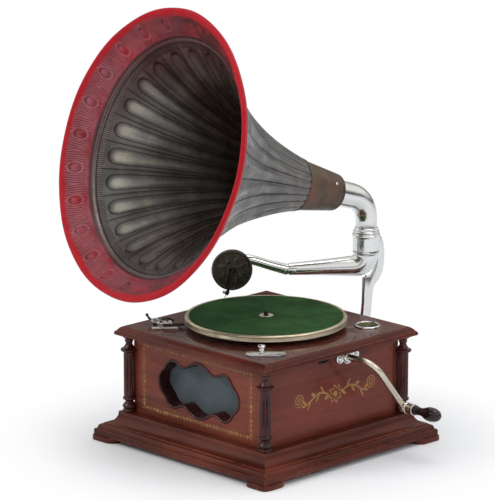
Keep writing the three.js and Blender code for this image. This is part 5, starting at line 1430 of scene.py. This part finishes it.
def perforated_face_tree():
    """A round plate with petal-shaped perforations in a ring, made by Geometry Nodes."""
    tree, start, end = new_maker_tree("perforated_face", {"Count": 8}, {
        "Radius": 0.028, "Thickness": 0.0014, "Ring": 0.0175, "Hole": 0.0038, "Stretch": 1.55,
        "Middle Hole": 0.0062,
    })
    through = 0.02

    def link(a, b):
        tree.links.new(a, b)

    def cylinder(sides, radius, depth):
        node = tree.nodes.new("GeometryNodeMeshCylinder")
        node.inputs["Vertices"].default_value = sides
        link(start.outputs[radius], node.inputs["Radius"])
        feed(tree, node.inputs["Depth"], depth)
        return node.outputs["Mesh"]

    ring = tree.nodes.new("GeometryNodeMeshCircle")
    link(start.outputs["Count"], ring.inputs["Vertices"])
    link(start.outputs["Ring"], ring.inputs["Radius"])
    aim = tree.nodes.new("FunctionNodeAlignEulerToVector")
    aim.axis = "X"
    link(tree.nodes.new("GeometryNodeInputPosition").outputs[0], aim.inputs["Vector"])
    spread = tree.nodes.new("GeometryNodeInstanceOnPoints")
    link(ring.outputs["Mesh"], spread.inputs["Points"])
    link(cylinder(28, "Hole", through), spread.inputs["Instance"])
    link(join_xyz(tree, start.outputs["Stretch"], 1, 1), spread.inputs["Scale"])
    link(aim.outputs[0], spread.inputs["Rotation"])
    solid = tree.nodes.new("GeometryNodeRealizeInstances")
    link(spread.outputs[0], solid.inputs[0])
    tools = tree.nodes.new("GeometryNodeJoinGeometry")
    link(solid.outputs[0], tools.inputs[0])
    link(cylinder(40, "Middle Hole", through), tools.inputs[0])
    cut = tree.nodes.new("GeometryNodeMeshBoolean")
    cut.operation = "DIFFERENCE"
    link(cylinder(96, "Radius", start.outputs["Thickness"]), cut.inputs["Mesh 1"])
    link(tools.outputs[0], cut.inputs["Mesh 2"])
    end_maker_tree(tree, cut.outputs["Mesh"], start, end)
    return tree


def grown_mesh(name, tree, inputs, source=None):
    """The plain mesh that a Geometry Nodes tree makes from its named inputs."""
    holder = bpy.data.objects.new(name + "_maker", source or bpy.data.meshes.new(name + "_seed"))
    bpy.context.scene.collection.objects.link(holder)
    maker = holder.modifiers.new("maker", "NODES")
    maker.node_group = tree
    for item in tree.interface.items_tree:
        if item.item_type == "SOCKET" and item.in_out == "INPUT" and item.name in inputs:
            maker[item.identifier] = inputs[item.name]
    bpy.context.view_layer.update()
    depsgraph = bpy.context.evaluated_depsgraph_get()
    mesh = bpy.data.meshes.new_from_object(holder.evaluated_get(depsgraph))
    bpy.data.objects.remove(holder)
    mesh.name = name
    return mesh


def add_sound_box():
    r, front = 32.5, 14.1
    shell = rounded([
        (5, 0, 0), (12, 0, 0.4), (13.5, 2.0, 0.6), (r - 4, 0.6, 0.6), (r - 0.6, 1.6, 0.8), (r, 3.4, 0.8),
        (r, 7.9, 0.3), (29.5, 8.0, 0.2), (29.5, 5.6, 0.2), (27, 5.5, 0.2), (27, 3, 0.4), (5, 3, 0),
    ], steps=3)
    finish_piece("sound_box_shell", turned(shell, 88), SOUND_BOX_BRONZE, "sound_box", "sound_box_back",
                 SOUND_BOX)
    leaf = [(0, 5.9), (14, 5.95), (29, 5.85), (29.2, 6.4), (29, 6.85), (14, 6.9), (0, 6.95)]
    disc = turned(leaf, 64, closed=False)
    finish_piece("mica_leaf", disc, MICA, "sound_box", "diaphragm", SOUND_BOX)
    ring = turned(rounded([
        (27.6, 7.2, 0), (29.2, 7.2, 0.2), (29.2, 8.4, 0.2), (r, 8.5, 0.2), (r, 9.6, 0.4), (31.9, 10.1, 0.4),
        (r, 10.8, 0.5), (r, 12.6, 0.8), (30.9, front, 1.0), (28.6, front, 0.8), (27.4, 12.2, 0.4),
        (27.2, 10.0, 0.2),
    ], steps=3), 96)
    face = bmesh.new()
    mesh = grown_mesh("cover_face", perforated_face_tree(), {"Finish": SOUND_BOX_BRONZE})
    face.from_mesh(mesh)
    bpy.data.meshes.remove(mesh)
    moved(face, at(0, 0, 11.0) @ turn("Z", PI / 8) @ Matrix.Scale(1000, 4))
    # the face is dished forward a little at its middle
    for vertex in face.verts:
        reach = math.hypot(vertex.co.x, vertex.co.y)
        vertex.co.z += 0.9 * (1 - (reach / 28) ** 2)
    collar = turned(rounded([
        (5.4, 10.6, 0), (7.6, 10.6, 0.2), (7.4, 13.2, 0.5), (6.2, 13.5, 0.3), (5.4, 12.8, 0),
    ]), 40)
    cover = merge(ring, face, collar)
    finish_piece("sound_box_front", cover, SOUND_BOX_BRONZE, "sound_box", "sound_box_cover", SOUND_BOX)


# ---------------------------------------------------------------- horn

HORN = at(0, PIVOT_Y, 0) @ turn("Z", -HORN_YAW) @ at(0, 0, HORN_Z) @ turn("X", PI / 2 - HORN_PITCH)
HORN_CENTRE = tuple((HORN @ Vector((0, 0, 0))) * MM)
HORN_TURN = tuple(HORN.to_euler())
BELL_NECK, BELL_MOUTH, BELL_LENGTH, BELL_START, FLARE = 42.0, 226.4, 288.4, 153.3, 1.72


def horn_place(tree, place):
    """A place as x, y and z in the horn's own frame, whose z is its axis."""
    return split_xyz(tree, mapped(tree, place, location=HORN_CENTRE, rotation=HORN_TURN, kind="TEXTURE"))


def add_elbow():
    place = at(0, PIVOT_Y, 0) @ turn("Z", -HORN_YAW)
    bend, angle = 45, PI / 2 - HORN_PITCH
    tangent = bend * math.tan(angle / 2)
    ahead = Vector((0, -math.cos(HORN_PITCH), math.sin(HORN_PITCH)))
    corner = Vector((0, 0, HORN_Z))
    bend_foot = corner - Vector((0, 0, tangent))
    centre = bend_foot + Vector((0, -bend, 0))
    points, radii = [], []
    collar = [
        (280.6, 18.0), (297.2, 18.0), (297.3, 20.0), (298.4, 20.9), (300.0, 20.9), (301.0, 20.2),
        (301.4, 19.0), (303.2, 18.6), (304.6, 18.9), (305.8, 18.4), (306.4, 17.3), (307.4, 17.0),
    ]
    for z, radius in collar:
        points.append(Vector((0, 0, z)))
        radii.append(radius)
    total = 25
    for i in range(total):
        t = i / (total - 1)
        turned_by = angle * t
        points.append(centre + Vector((0, bend * math.cos(turned_by), bend * math.sin(turned_by))))
        radii.append(17 + 3.4 * t)
    for i in range(1, 7):
        t = i / 6
        points.append(corner + ahead * (tangent + (96 - tangent) * t))
        radii.append(min(22.0, 20.4 + 2.4 * t))
    tube = swept(points, radii, 56, hint=Vector((1, 0, 0)))
    finish_piece("horn_elbow", tube, NICKEL, "horn", "elbow", place, crease=40)


def make_collar_paint():
    """Brown japanning worn to rust and olive, with a dark end."""
    material, tree, shader = new_material("collar_japan", 0.42, metallic=0.35)
    place = object_place(tree)
    along = horn_place(tree, place)[2]
    broad = noise(tree, place, 22.0, 4, 0.6)
    rust = noise(tree, mapped(tree, place, location=(3, 1, 7)), 34.0, 5, 0.65).smooth(0.52, 0.72)
    olive = noise(tree, mapped(tree, place, location=(9, 4, 1)), 18.0, 3, 0.6).smooth(0.5, 0.75)
    base = layered(
        tree, blend(tree, broad.smooth(0.32, 0.68), (0.060, 0.044, 0.028), (0.125, 0.072, 0.045)),
        (rust * 0.7, (0.20, 0.060, 0.035)),
        (olive * 0.5, (0.115, 0.100, 0.050)),
        (along.smooth(0.0785, 0.072) * 0.75, (0.018, 0.014, 0.012)),
    )
    feed(tree, shader.inputs["Base Color"], base)
    marks = use(tree, SCUFF, Scale=40.0, Depth=0.3)
    tree.links.new((out_of(tree, marks, "Smear") + 0.34).socket, shader.inputs["Roughness"])
    bump(tree, shader, broad + out_of(tree, marks, "Height") * 0.4, 0.25, 0.0004)
    return material


def add_collar():
    profile = rounded([
        (22.3, 69, 0), (27.6, 69, 0.5), (28.6, 69.6, 0.5), (29.4, 71, 0.6), (29.9, 73.5, 0.8), (30.5, 77, 1),
        (40.4, 146, 1), (41.2, 147.4, 0.4), (42.4, 148.4, 0.6), (42.8, 149.8, 0.6), (42.4, 151.2, 0.6),
        (43.2, 152.0, 0.4), (42.2, 153, 0.3), (39.2, 153, 0.2), (27.6, 74, 0.5), (22.3, 73.8, 0),
    ], steps=3)
    body = turned(profile, 96)
    stud = turned(rounded([(0, -2, 0), (2.6, -2, 0.2), (2.6, 0.2, 0.2), (2.1, 1.3, 0.6), (0, 1.7, 0)]), 24)
    angle = math.radians(28)
    slope = math.atan2(9.9, 69)
    spot = at(33.0 * math.cos(angle), 33.0 * math.sin(angle), 92)
    moved(stud, spot @ turn("Z", angle) @ turn("Y", PI / 2 + slope))
    finish_piece("horn_collar_tube", body, COLLAR_PAINT, "horn", "horn_collar", HORN)
    finish_piece("horn_collar_stud", stud, NICKEL, "horn", (), HORN)


def bell_radius(share):
    grown = (math.exp(FLARE * share) - 1) / (math.exp(FLARE) - 1)
    return BELL_NECK + (BELL_MOUTH - 4 - BELL_NECK) * grown


def share_at(radius):
    """Where along the wall the bell has a radius."""
    grown = (radius - BELL_NECK) / (BELL_MOUTH - 4 - BELL_NECK)
    return math.log(1 + grown * (math.exp(FLARE) - 1)) / FLARE


def bell_profile():
    """The bell's section as (radius, z): up the outside, round the rolled rim, down the inside."""
    step = 1e-4
    half, roll = 0.8, 4.6

    def wall(share, offset):
        rise = ((bell_radius(share + step) - bell_radius(share - step)) / (2 * step)) / BELL_LENGTH
        norm = math.hypot(1, rise)
        # the pressed bead near the mouth, and the flange's curl forward into the rim
        lift = offset + 1.6 * math.exp(-((bell_radius(share) - 184.5) / 2.0) ** 2)
        eased = min(max((bell_radius(share) - BELL_MOUTH + 22) / 16, 0), 1)
        lift -= (roll - half) * eased * eased * (3 - 2 * eased)
        return bell_radius(share) + lift / norm, share * BELL_LENGTH - lift * rise / norm, rise

    last = share_at(BELL_MOUTH - roll)
    rows = [wall(last * i / 40, half)[:2] for i in range(40)]
    # the roll lies behind the wall, so that the mouth side runs smoothly onto it
    centre_r, centre_z, rise = wall(last, roll - half)
    front = math.atan2(rise, -1)
    for i in range(15):
        angle = front + math.radians(50 + 310 * i / 14)
        rows.append((centre_r + roll * math.cos(angle), centre_z + roll * math.sin(angle)))
    radii = [BELL_MOUTH - roll - 0.6 - 1.25 * i for i in range(51)]
    shares = [share_at(radius) for radius in radii]
    shares += [shares[-1] * (1 - i / 44) for i in range(1, 45)]
    rows += [wall(share, -half)[:2] for share in shares]
    return rows


# the pressed pattern, in metres: the bell's tree and its paint both follow it
FLUTES = 24.0
TONGUE_END = 0.1580
TONGUE_SHARE = 0.60
MEDALLION_RING = 0.2035


def past_tongue(radius, off_middle, flutes=FLUTES, end=TONGUE_END, wide=TONGUE_SHARE):
    """How far a point lies outside the round-ended tongue in its flute; below zero inside it."""
    arc = off_middle * (radius * PI / flutes)
    beyond = (radius - end).math("MAXIMUM", 0.0) * 1.1
    return arc.hypot(beyond) - radius.math("MINIMUM", end) * PI / flutes * wide


def from_medallion(radius, angle, flutes=FLUTES, ring=MEDALLION_RING):
    """The distances round and out from the nearest medallion on the flange."""
    along = ((angle * flutes / (2 * PI) + 0.5).math("FRACT") - 0.5) * (2 * PI) * radius / flutes
    return along, radius - ring


def bell_tree():
    """Turns a section about the horn's axis and presses the flutes, tongues and medallions into it."""
    tree, start, end = new_maker_tree("fluted_bell", {"Rows": 10, "Around": 577}, {
        "Flutes": FLUTES, "Flute Depth": 0.004, "Crease": 0.0014, "Tongue Depth": 0.0030,
        "Tongue End": TONGUE_END, "Tongue Share": TONGUE_SHARE, "Medallion Radius": MEDALLION_RING,
        "Medallion Depth": 0.0022, "Dents": 0.0010,
    })

    def size(label):
        return Wire(tree, start.outputs[label])

    grid = tree.nodes.new("GeometryNodeMeshGrid")
    grid.inputs["Size X"].default_value = 1
    grid.inputs["Size Y"].default_value = 1
    tree.links.new(start.outputs["Around"], grid.inputs["Vertices X"])
    tree.links.new(start.outputs["Rows"], grid.inputs["Vertices Y"])
    across, up = split_xyz(tree, tree.nodes.new("GeometryNodeInputPosition").outputs[0])[:2]
    row = ((up + 0.5) * (size("Rows") - 1)).math("ROUND")
    pick = tree.nodes.new("GeometryNodeSampleIndex")
    pick.data_type = "FLOAT_VECTOR"
    tree.links.new(start.outputs["Geometry"], pick.inputs["Geometry"])
    tree.links.new(tree.nodes.new("GeometryNodeInputPosition").outputs[0], pick.inputs["Value"])
    tree.links.new(row.socket, pick.inputs["Index"])
    radius, _, height = split_xyz(tree, pick.outputs["Value"])
    angle = (across + 0.5) * (2 * PI)
    # one flute is a turn of phase; 0 is its crease, 1/2 its middle
    phase = (angle * size("Flutes") / (2 * PI)).math("FRACT")
    off_middle = (phase - 0.5) * 2
    edge = off_middle.math("ABSOLUTE")
    bulge = 1 - edge * edge
    fade = radius.smooth(0.181, 0.168) * radius.smooth(0.030, 0.075)
    pressed = size("Flute Depth") * (bulge - 0.5) * fade
    ridge = edge.smooth(0.93, 1.0) * size("Crease") * 1.6 * fade
    inside_tongue = past_tongue(radius, off_middle, size("Flutes"), size("Tongue End"), size("Tongue Share"))
    tongue = inside_tongue.smooth(0.0012, -0.0080) * radius.smooth(0.070, 0.120) * size("Tongue Depth")
    # round medallions in line with the creases
    along, out = from_medallion(radius, angle, size("Flutes"), size("Medallion Radius"))
    oval = along.hypot(out)
    # worn flatter on the right and above
    kept = (0.62 - angle.math("SINE") * 0.5).clamp()
    mound = oval.smooth(0.0066, 0.0020) * size("Medallion Depth") * kept
    ring = oval.near(0.0086, 0.0002, 0.0030) * size("Medallion Depth") * kept * 0.35
    flange = radius.smooth(0.1885, 0.191) * radius.smooth(0.2165, 0.2125)
    flange_press = (mound + ring) * flange
    dents = ((angle * 5.0 - 1.0).math("SINE") * 0.6 + (angle * 13.0).math("SINE") * 0.3) * size("Dents")
    radius = radius + dents * radius.smooth(0.180, 0.225)
    grown = radius + pressed - ridge + tongue - flange_press
    lifted = height + flange_press * 1.2
    spot = join_xyz(tree, grown * angle.math("SINE"), grown * angle.math("COSINE") * -1, lifted)
    place = tree.nodes.new("GeometryNodeSetPosition")
    tree.links.new(grid.outputs["Mesh"], place.inputs["Geometry"])
    tree.links.new(spot, place.inputs["Position"])
    weld = tree.nodes.new("GeometryNodeMergeByDistance")
    weld.inputs["Distance"].default_value = 1e-6
    tree.links.new(place.outputs[0], weld.inputs[0])
    end_maker_tree(tree, weld.outputs[0], start, end)
    return tree


class BellPlace:
    """Where a point of the bell lies in the horn's own frame, and the noises that its paints share."""

    def __init__(self, tree):
        self.tree = tree
        self.place = object_place(tree)
        self.x, self.y = horn_place(tree, self.place)[:2]
        self.radius = self.x.hypot(self.y)
        self.angle = self.y.math("ARCTAN2", self.x)
        self.share = self.radius / (BELL_MOUTH * MM)
        self.clouds = noise(tree, self.place, 16.0, 5, 0.62)
        self.fine = noise(tree, self.place, 120.0, 3, 0.6)

    def patches(self, shift, scale, detail, roughness):
        return noise(self.tree, mapped(self.tree, self.place, location=shift), scale, detail, roughness)


def light_from_left(spot):
    """How far a flute lies in the light: most low on the left, least above and on the right."""
    to_light = (spot.x * -0.985 - spot.y * 0.174) / spot.radius
    side = to_light.smooth(0.35, 0.98) * spot.radius.smooth(0.045, 0.150)
    low = (spot.y * -7.0 - 0.15).clamp() * 0.4
    return (side + low * (1 - side) + (spot.clouds - 0.5) * 0.35).clamp()


def fluted_field(spot, lit, comb, ribs):
    """Sooty bronze flutes in painted light and shade: near black as painted shade above, grey and painted lit
    on the left, with fine ribs round their ends.
    """
    tree, share = spot.tree, spot.share
    # painted light and shade: the lit mask blends sooty black, painted as shade above, into dusty grey,
    # painted as light on the left and low down
    soot_in_shade = blend(tree, spot.clouds.smooth(0.35, 0.7), (0.026, 0.014, 0.011), (0.062, 0.039, 0.030))
    dust_in_light = blend(tree, spot.clouds.smooth(0.3, 0.7), (0.105, 0.100, 0.091), (0.215, 0.208, 0.194))
    off_middle = ((spot.angle * FLUTES / (2 * PI)).math("FRACT") - 0.5) * 2
    beyond = past_tongue(spot.radius, off_middle)
    pressed = beyond.smooth(0.0, -0.007)
    near_end = spot.radius.smooth(0.105, 0.160)
    lit_side = (off_middle * 0.8 + 0.62).clamp()
    brassy_glints = spot.patches((4, 2, 9), 42.0, 4, 0.65).smooth(0.50, 0.66)
    tip = beyond.smooth(-0.002, -0.009) * spot.radius.smooth(0.140, 0.160)
    # reddish bleeding at the flutes' ends above
    bleed = share.smooth(0.60, 0.80) * (spot.y * 5.0 + 0.35).clamp()
    # painted shade: dark lines down the creases and round the tongues
    webs = share.smooth(0.79, 0.76) * share.smooth(0.20, 0.40)
    outline = beyond.near(0.0002, 0.0, 0.0016)
    crease = off_middle.math("ABSOLUTE").smooth(0.93, 0.985)
    low_tint = (spot.y * -6.0 - 0.35).clamp() * share.smooth(0.35, 0.6)
    return layered(
        tree, blend(tree, lit, soot_in_shade, dust_in_light),
        # painted highlight on the lit side of the pressed tongues near their ends
        (pressed * lit * near_end * lit_side * 0.7, (0.40, 0.385, 0.350)),
        # brass-coloured patches, shown only where the painted light falls: painted glints
        (brassy_glints * lit * pressed * near_end * 0.8, (0.36, 0.31, 0.17)),
        # painted highlight: bright glints at the tongues' ends where the light falls
        (tip * lit * lit * 0.6, (0.56, 0.53, 0.44)),
        # painted shade on the webs between the lit tongues
        ((1 - pressed) * lit * 0.3, (0.040, 0.036, 0.032)),
        (bleed * 0.5, (0.095, 0.014, 0.014)),
        # painted shade round the tongues and down the creases
        (outline * webs * 0.8, (0.008, 0.006, 0.005)),
        (crease * webs * 0.85, (0.006, 0.005, 0.004)),
        # painted shade in the valleys of the fine ribs, and a painted highlight on their tops where lit
        (ribs * comb * 0.7, (0.014, 0.011, 0.010)),
        ((1 - ribs) * comb * (lit * 0.5 + 0.08), (0.30, 0.23, 0.21)),
        (low_tint * 0.5, (0.058, 0.043, 0.053)),
        (share.smooth(0.800, 0.815) * 0.7, (0.085, 0.026, 0.028)),
    )


def red_flange(spot, on_flange, waves, wavy, oval):
    """Red paint: dark grime above and below, painted darker above as shade; dusty pink on the left, where the
    ripples and medallion rings get painted highlight and shade; bright at the rim.
    """
    tree, x, y = spot.tree, spot.x, spot.y
    red = blend(tree, spot.clouds.smooth(0.35, 0.65), (0.42, 0.014, 0.024), (0.26, 0.016, 0.026))
    # grime colour, darker above as painted shade
    grime_shaded_above = blend(tree, (y * 4.0 + 0.5).clamp(), (0.115, 0.030, 0.040), (0.055, 0.010, 0.011))
    bright = blend(tree, spot.fine.smooth(0.4, 0.7) * 0.5, (0.43, 0.003, 0.011), (0.33, 0.004, 0.011))
    grimy = spot.patches((1, 8, 3), 24.0, 5, 0.62).smooth(0.34, 0.56)
    pink = spot.patches((6, 5, 2), 30.0, 4, 0.6).smooth(0.34, 0.62)
    # the left of the flange, where its ripples and medallions get painted highlight and shade
    left = (0.30 - x * 3.6 - y * 0.6).clamp()
    ragged = (spot.clouds - 0.5) * 0.05 + spot.share
    return layered(
        tree, red,
        (grimy * (0.90 + x * 2.6).clamp() * 0.95, grime_shaded_above),
        (pink * (0.16 - x * 3.2 - y * 0.5).clamp() * 0.85, (0.40, 0.115, 0.150)),
        # painted highlight on the ripples' crests, painted shade in their troughs
        (waves * wavy * left * 0.62, (0.50, 0.19, 0.20)),
        ((1 - waves) * wavy * left * 0.62, (0.12, 0.010, 0.016)),
        # painted shade round each medallion, then a painted highlight on its rim
        (oval.near(0.0068, 0.0, 0.0018) * on_flange * (left * 0.4 + 0.1), (0.075, 0.012, 0.014)),
        (oval.near(0.0088, 0.0, 0.0012) * on_flange * left * 0.45, (0.46, 0.23, 0.23)),
        (ragged.smooth(0.935, 0.960), bright),
    )


def make_bell_inside():
    """The horn's mouth side: sooty bronze flutes in painted light and shade, a ring of fine ribs, and a red
    flange gone dusky with grime and painted shade.
    """
    material, tree, shader = new_material("bell_inside_paint", 0.36, metallic=0.25, specular=0.25)
    spot = BellPlace(tree)
    share, radius = spot.share, spot.radius
    lit = light_from_left(spot)
    comb = share.smooth(0.758, 0.766) * share.smooth(0.803, 0.795)
    ribs = (spot.angle * 340.0).math("SINE") * 0.5 + 0.5
    on_flange = share.smooth(0.845, 0.86) * share.smooth(0.965, 0.94)
    # ripples run round each medallion, 3.6 mm apart
    along, out = from_medallion(radius, spot.angle)
    far = (along * along + out * out * 0.2).math("SQRT")
    waves = ((far + (spot.fine - 0.5) * 0.0016) * (2 * PI / 0.0036)).math("SINE") * 0.5 + 0.5
    oval = along.hypot(out)
    wavy = on_flange * oval.smooth(0.0092, 0.0110)
    past_field = (share + (spot.clouds - 0.5) * 0.02).smooth(0.825, 0.84)
    base = layered(
        tree, fluted_field(spot, lit, comb, ribs),
        (past_field, red_flange(spot, on_flange, waves, wavy, oval)),
        # painted shade in the groove beside the bead, then a painted highlight on the bead where lit
        (radius.near(0.1795, 0.0, 0.0018) * 0.85, (0.012, 0.008, 0.007)),
        (radius.near(0.1850, 0.0, 0.0011) * (lit * 0.45 + 0.05), (0.34, 0.19, 0.18)),
    )
    feed(tree, shader.inputs["Base Color"], base)
    marks = use(tree, SCUFF, Scale=30.0, Depth=0.2)
    feed(tree, shader.inputs["Roughness"], out_of(tree, marks, "Smear") + 0.22 + past_field * 0.3)
    feed(tree, shader.inputs["Metallic"], (0.42 - lit * 0.22 - past_field * 0.2).clamp())
    relief = ribs * comb * 2.0 + waves * wavy * 1.6 + spot.fine * 0.4 + spot.clouds * 0.6
    bump(tree, shader, relief, 0.6, 0.0009)
    return material


def make_bell_outside():
    """The horn's back: grey-brown bronzing with painted shade along the creases and long scratches."""
    material, tree, shader = new_material("bell_outside_paint", 0.34, metallic=0.6)
    place = object_place(tree)
    x, y, z = horn_place(tree, place)
    radius = x.hypot(y)
    angle = y.math("ARCTAN2", x)
    clouds = noise(tree, place, 18.0, 5, 0.62)
    streaks = noise(tree, join_xyz(tree, angle * 9, z * 4, radius), 2.4, 5, 0.65)
    base = blend(tree, clouds.smooth(0.3, 0.7), (0.118, 0.111, 0.105), (0.208, 0.198, 0.186))
    base = blend(tree, streaks.smooth(0.5, 0.72) * 0.7, base, (0.060, 0.050, 0.042))
    phase = (angle * FLUTES / (2 * PI)).math("FRACT")
    # painted shade along the creases between the flutes
    crease_shade = (phase - 0.5).math("ABSOLUTE").smooth(0.43, 0.49)
    base = blend(tree, crease_shade * 0.92, base, (0.010, 0.009, 0.008))
    red_rim = radius.smooth(0.2175, 0.2185)
    base = blend(tree, red_rim, base, (0.44, 0.010, 0.022))
    feed(tree, shader.inputs["Base Color"], base)
    tree.links.new((0.6 - red_rim * 0.55).socket, shader.inputs["Metallic"])
    marks = use(tree, SCUFF, Scale=30.0, Depth=0.25)
    tree.links.new((out_of(tree, marks, "Smear") + 0.24).socket, shader.inputs["Roughness"])
    bump(tree, shader, clouds * 0.6 + streaks * 0.5, 0.35, 0.0006)
    return material


COLLAR_PAINT = make_collar_paint()


def add_bell():
    rows = bell_profile()
    seed = bpy.data.meshes.new("bell_section")
    seed.from_pydata([(r * MM, 0, z * MM) for r, z in rows], [], [])
    outside = make_bell_outside()
    inside = make_bell_inside()
    mesh = grown_mesh("horn_bell_shell", bell_tree(), {"Rows": len(rows), "Finish": inside}, seed)
    shape = bmesh.new()
    shape.from_mesh(mesh)
    bpy.data.meshes.remove(mesh)
    # close the neck between the two walls
    rims = [e for e in shape.edges if e.is_boundary]
    bmesh.ops.bridge_loops(shape, edges=rims)
    bmesh.ops.scale(shape, vec=(1000, 1000, 1000), verts=shape.verts)
    place = HORN @ at(0, 0, BELL_START)
    piece = finish_piece("horn_fluted_bell", shape, inside, "horn", "horn_bell", place, crease=180)
    piece.data.materials.append(outside)
    back = HORN.inverted() @ Matrix.Scale(1000, 4)
    turn_back = HORN.to_3x3().inverted()
    for polygon in piece.data.polygons:
        local = back @ polygon.center
        normal = turn_back @ polygon.normal
        radial = Vector((local.x, local.y, 0)).normalized()
        if normal.dot(radial) > 0 and local.z - BELL_START < BELL_LENGTH + 6:
            reach = math.hypot(local.x, local.y)
            if reach < 221 or normal.z < 0.25:
                polygon.material_index = 1


# ---------------------------------------------------------------- dress the CAD nodes that stay


def dress(names, material):
    """Gives solids of the CAD, named with spaces between, a material."""
    for name in names.split():
        mesh = nodes[name].data
        mesh.materials.clear()
        mesh.materials.append(material)


def stencilled_border(tree):
    """A faded border of small leaves and lozenges round the front panel, strongest along its foot."""
    x, _, z = split_xyz(tree, object_place(tree))
    half_x, half_z, middle = 0.1235, 0.0545, 0.108
    dx = half_x - (x + 0.004).math("ABSOLUTE")
    dz = half_z - (z - middle).math("ABSOLUTE")
    inset = dx.math("MINIMUM", dz)
    on_side = dz.math("GREATER_THAN", dx)
    run = x * (1 - on_side) + z * on_side
    cell = ((run / 0.0074).math("FRACT") - 0.5).math("ABSOLUTE") * 2
    leaf = (cell * cell + ((inset - 0.0045).math("ABSOLUTE") / 0.0036)).smooth(1.0, 0.66)
    vein = cell.near(0.12, 0.0, 0.10)
    dot = ((run / 0.0037).math("FRACT") - 0.5).math("ABSOLUTE") * 2
    dots = dot + (inset - 0.0100).math("ABSOLUTE") / 0.0014
    rule = inset.near(0.0002, 0.0003, 0.0008)
    patchy = noise(tree, object_place(tree), 120.0, 3, 0.6).smooth(0.36, 0.60)
    lines = dots.smooth(1.0, 0.7).math("MAXIMUM", rule) * 0.4 * patchy
    mask = (leaf - vein * 0.7).math("MAXIMUM", lines).clamp() * (0.35 + patchy * 0.65)
    low = (middle - z).smooth(-0.02, 0.045)
    right = x.smooth(0.05, 0.12)
    return mask * inset.math("GREATER_THAN", -0.001) * (0.55 + low * 0.6 + right * 0.3).clamp()


def gold_spray(tree):
    """A leaf spray for the crank side: a rosette with a curling, leafy stem to either side."""
    y, z = split_xyz(tree, object_place(tree))[1:]
    along, rise = (y - 0.006) / 1.3, (z - 0.104) / 1.3
    reach = along.hypot(rise)
    turn_round = rise.math("ARCTAN2", along)
    petals = 0.0088 + (turn_round * 8.0).math("SINE") * 0.0020
    rosette = reach.near(petals, 0.0007, 0.0012)
    heart = reach.smooth(0.0038, 0.0030)
    wide = along.math("ABSOLUTE")
    stem_rise = ((wide - 0.010) * 105.0).math("SINE") * 0.0058
    on_stem = wide.math("GREATER_THAN", 0.011) * wide.math("LESS_THAN", 0.056)
    stem = rise.near(stem_rise, 0.0008, 0.0014)
    cell = ((wide - 0.011) / 0.0075).math("FRACT") - 0.5
    side = ((wide - 0.011) / 0.0150).math("FRACT").math("GREATER_THAN", 0.5) * 2 - 1
    off = (rise - stem_rise) * side - 0.0042
    lean = cell * 0.0075 - off * 0.7
    leaf = ((lean / 0.0020) * (lean / 0.0020) + (off / 0.0040) * (off / 0.0040)).smooth(1.1, 0.8)
    curl_along, curl_rise = wide - 0.0615, rise - 0.0035
    curl_reach = curl_along.hypot(curl_rise)
    curl_turn = curl_rise.math("ARCTAN2", curl_along)
    coil = ((curl_reach / 0.0036 - curl_turn / (2 * PI)).math("FRACT") - 0.5).math("ABSOLUTE")
    curl = coil.smooth(0.20, 0.13) * curl_reach.math("LESS_THAN", 0.0085)
    spray = (stem.math("MAXIMUM", leaf * 0.85)) * on_stem
    return rosette.math("MAXIMUM", heart).math("MAXIMUM", spray).math("MAXIMUM", curl) * 0.95


def side_wood(name, ornament=None):
    return varnished(
        name, "y", (0.080, 0.014, 0.009), (0.155, 0.030, 0.018), (0.215, 0.046, 0.028),
        gloss=0.3, ornament=ornament,
    )


def dress_cad():
    dress("left_panel", side_wood("left_side_mahogany"))
    dress("right_panel", side_wood("right_side_mahogany", gold_spray))
    dress("back_panel bottom_board", BOARD_WOOD)
    dress("bedplate lower_plate", IRON)
    dress("spring_barrel intermediate_wheel governor", BRASS)
    dress("spindle", BROWNED)
    dress("winding_arbor speed_lever crank_shaft pivot_screw needle", STEEL)
    dress("side_hook neck_pin stylus_bar", BROWNED)
    dress("needle_screw", WORN_NICKEL)


add_camera()
add_world()
add_floor()
add_lamp("key_softbox", (-1.6, -3.4, 3.2), (0, 0, 0.25), 1.8, 66, (1.0, 0.98, 0.95))
add_lamp("fill_softbox", (3.6, 0.6, 2.4), (0, 0, 0.3), 2.2, 30, (0.96, 0.98, 1.0))
add_lamp("top_softbox", (0.3, 0.6, 3.8), (0, 0, 0.2), 2.4, 30, (1, 1, 1))

add_case()
add_turntable()
add_felt()
add_washer()
add_speed_control()
add_needle_cup()
add_brake()
add_crank()
add_escutcheon()
add_bracket()
add_tone_arm()
add_gooseneck()
add_sound_box()
add_elbow()
add_collar()
add_bell()
dress_cad()

bpy.context.scene.view_settings.view_transform = "Standard"
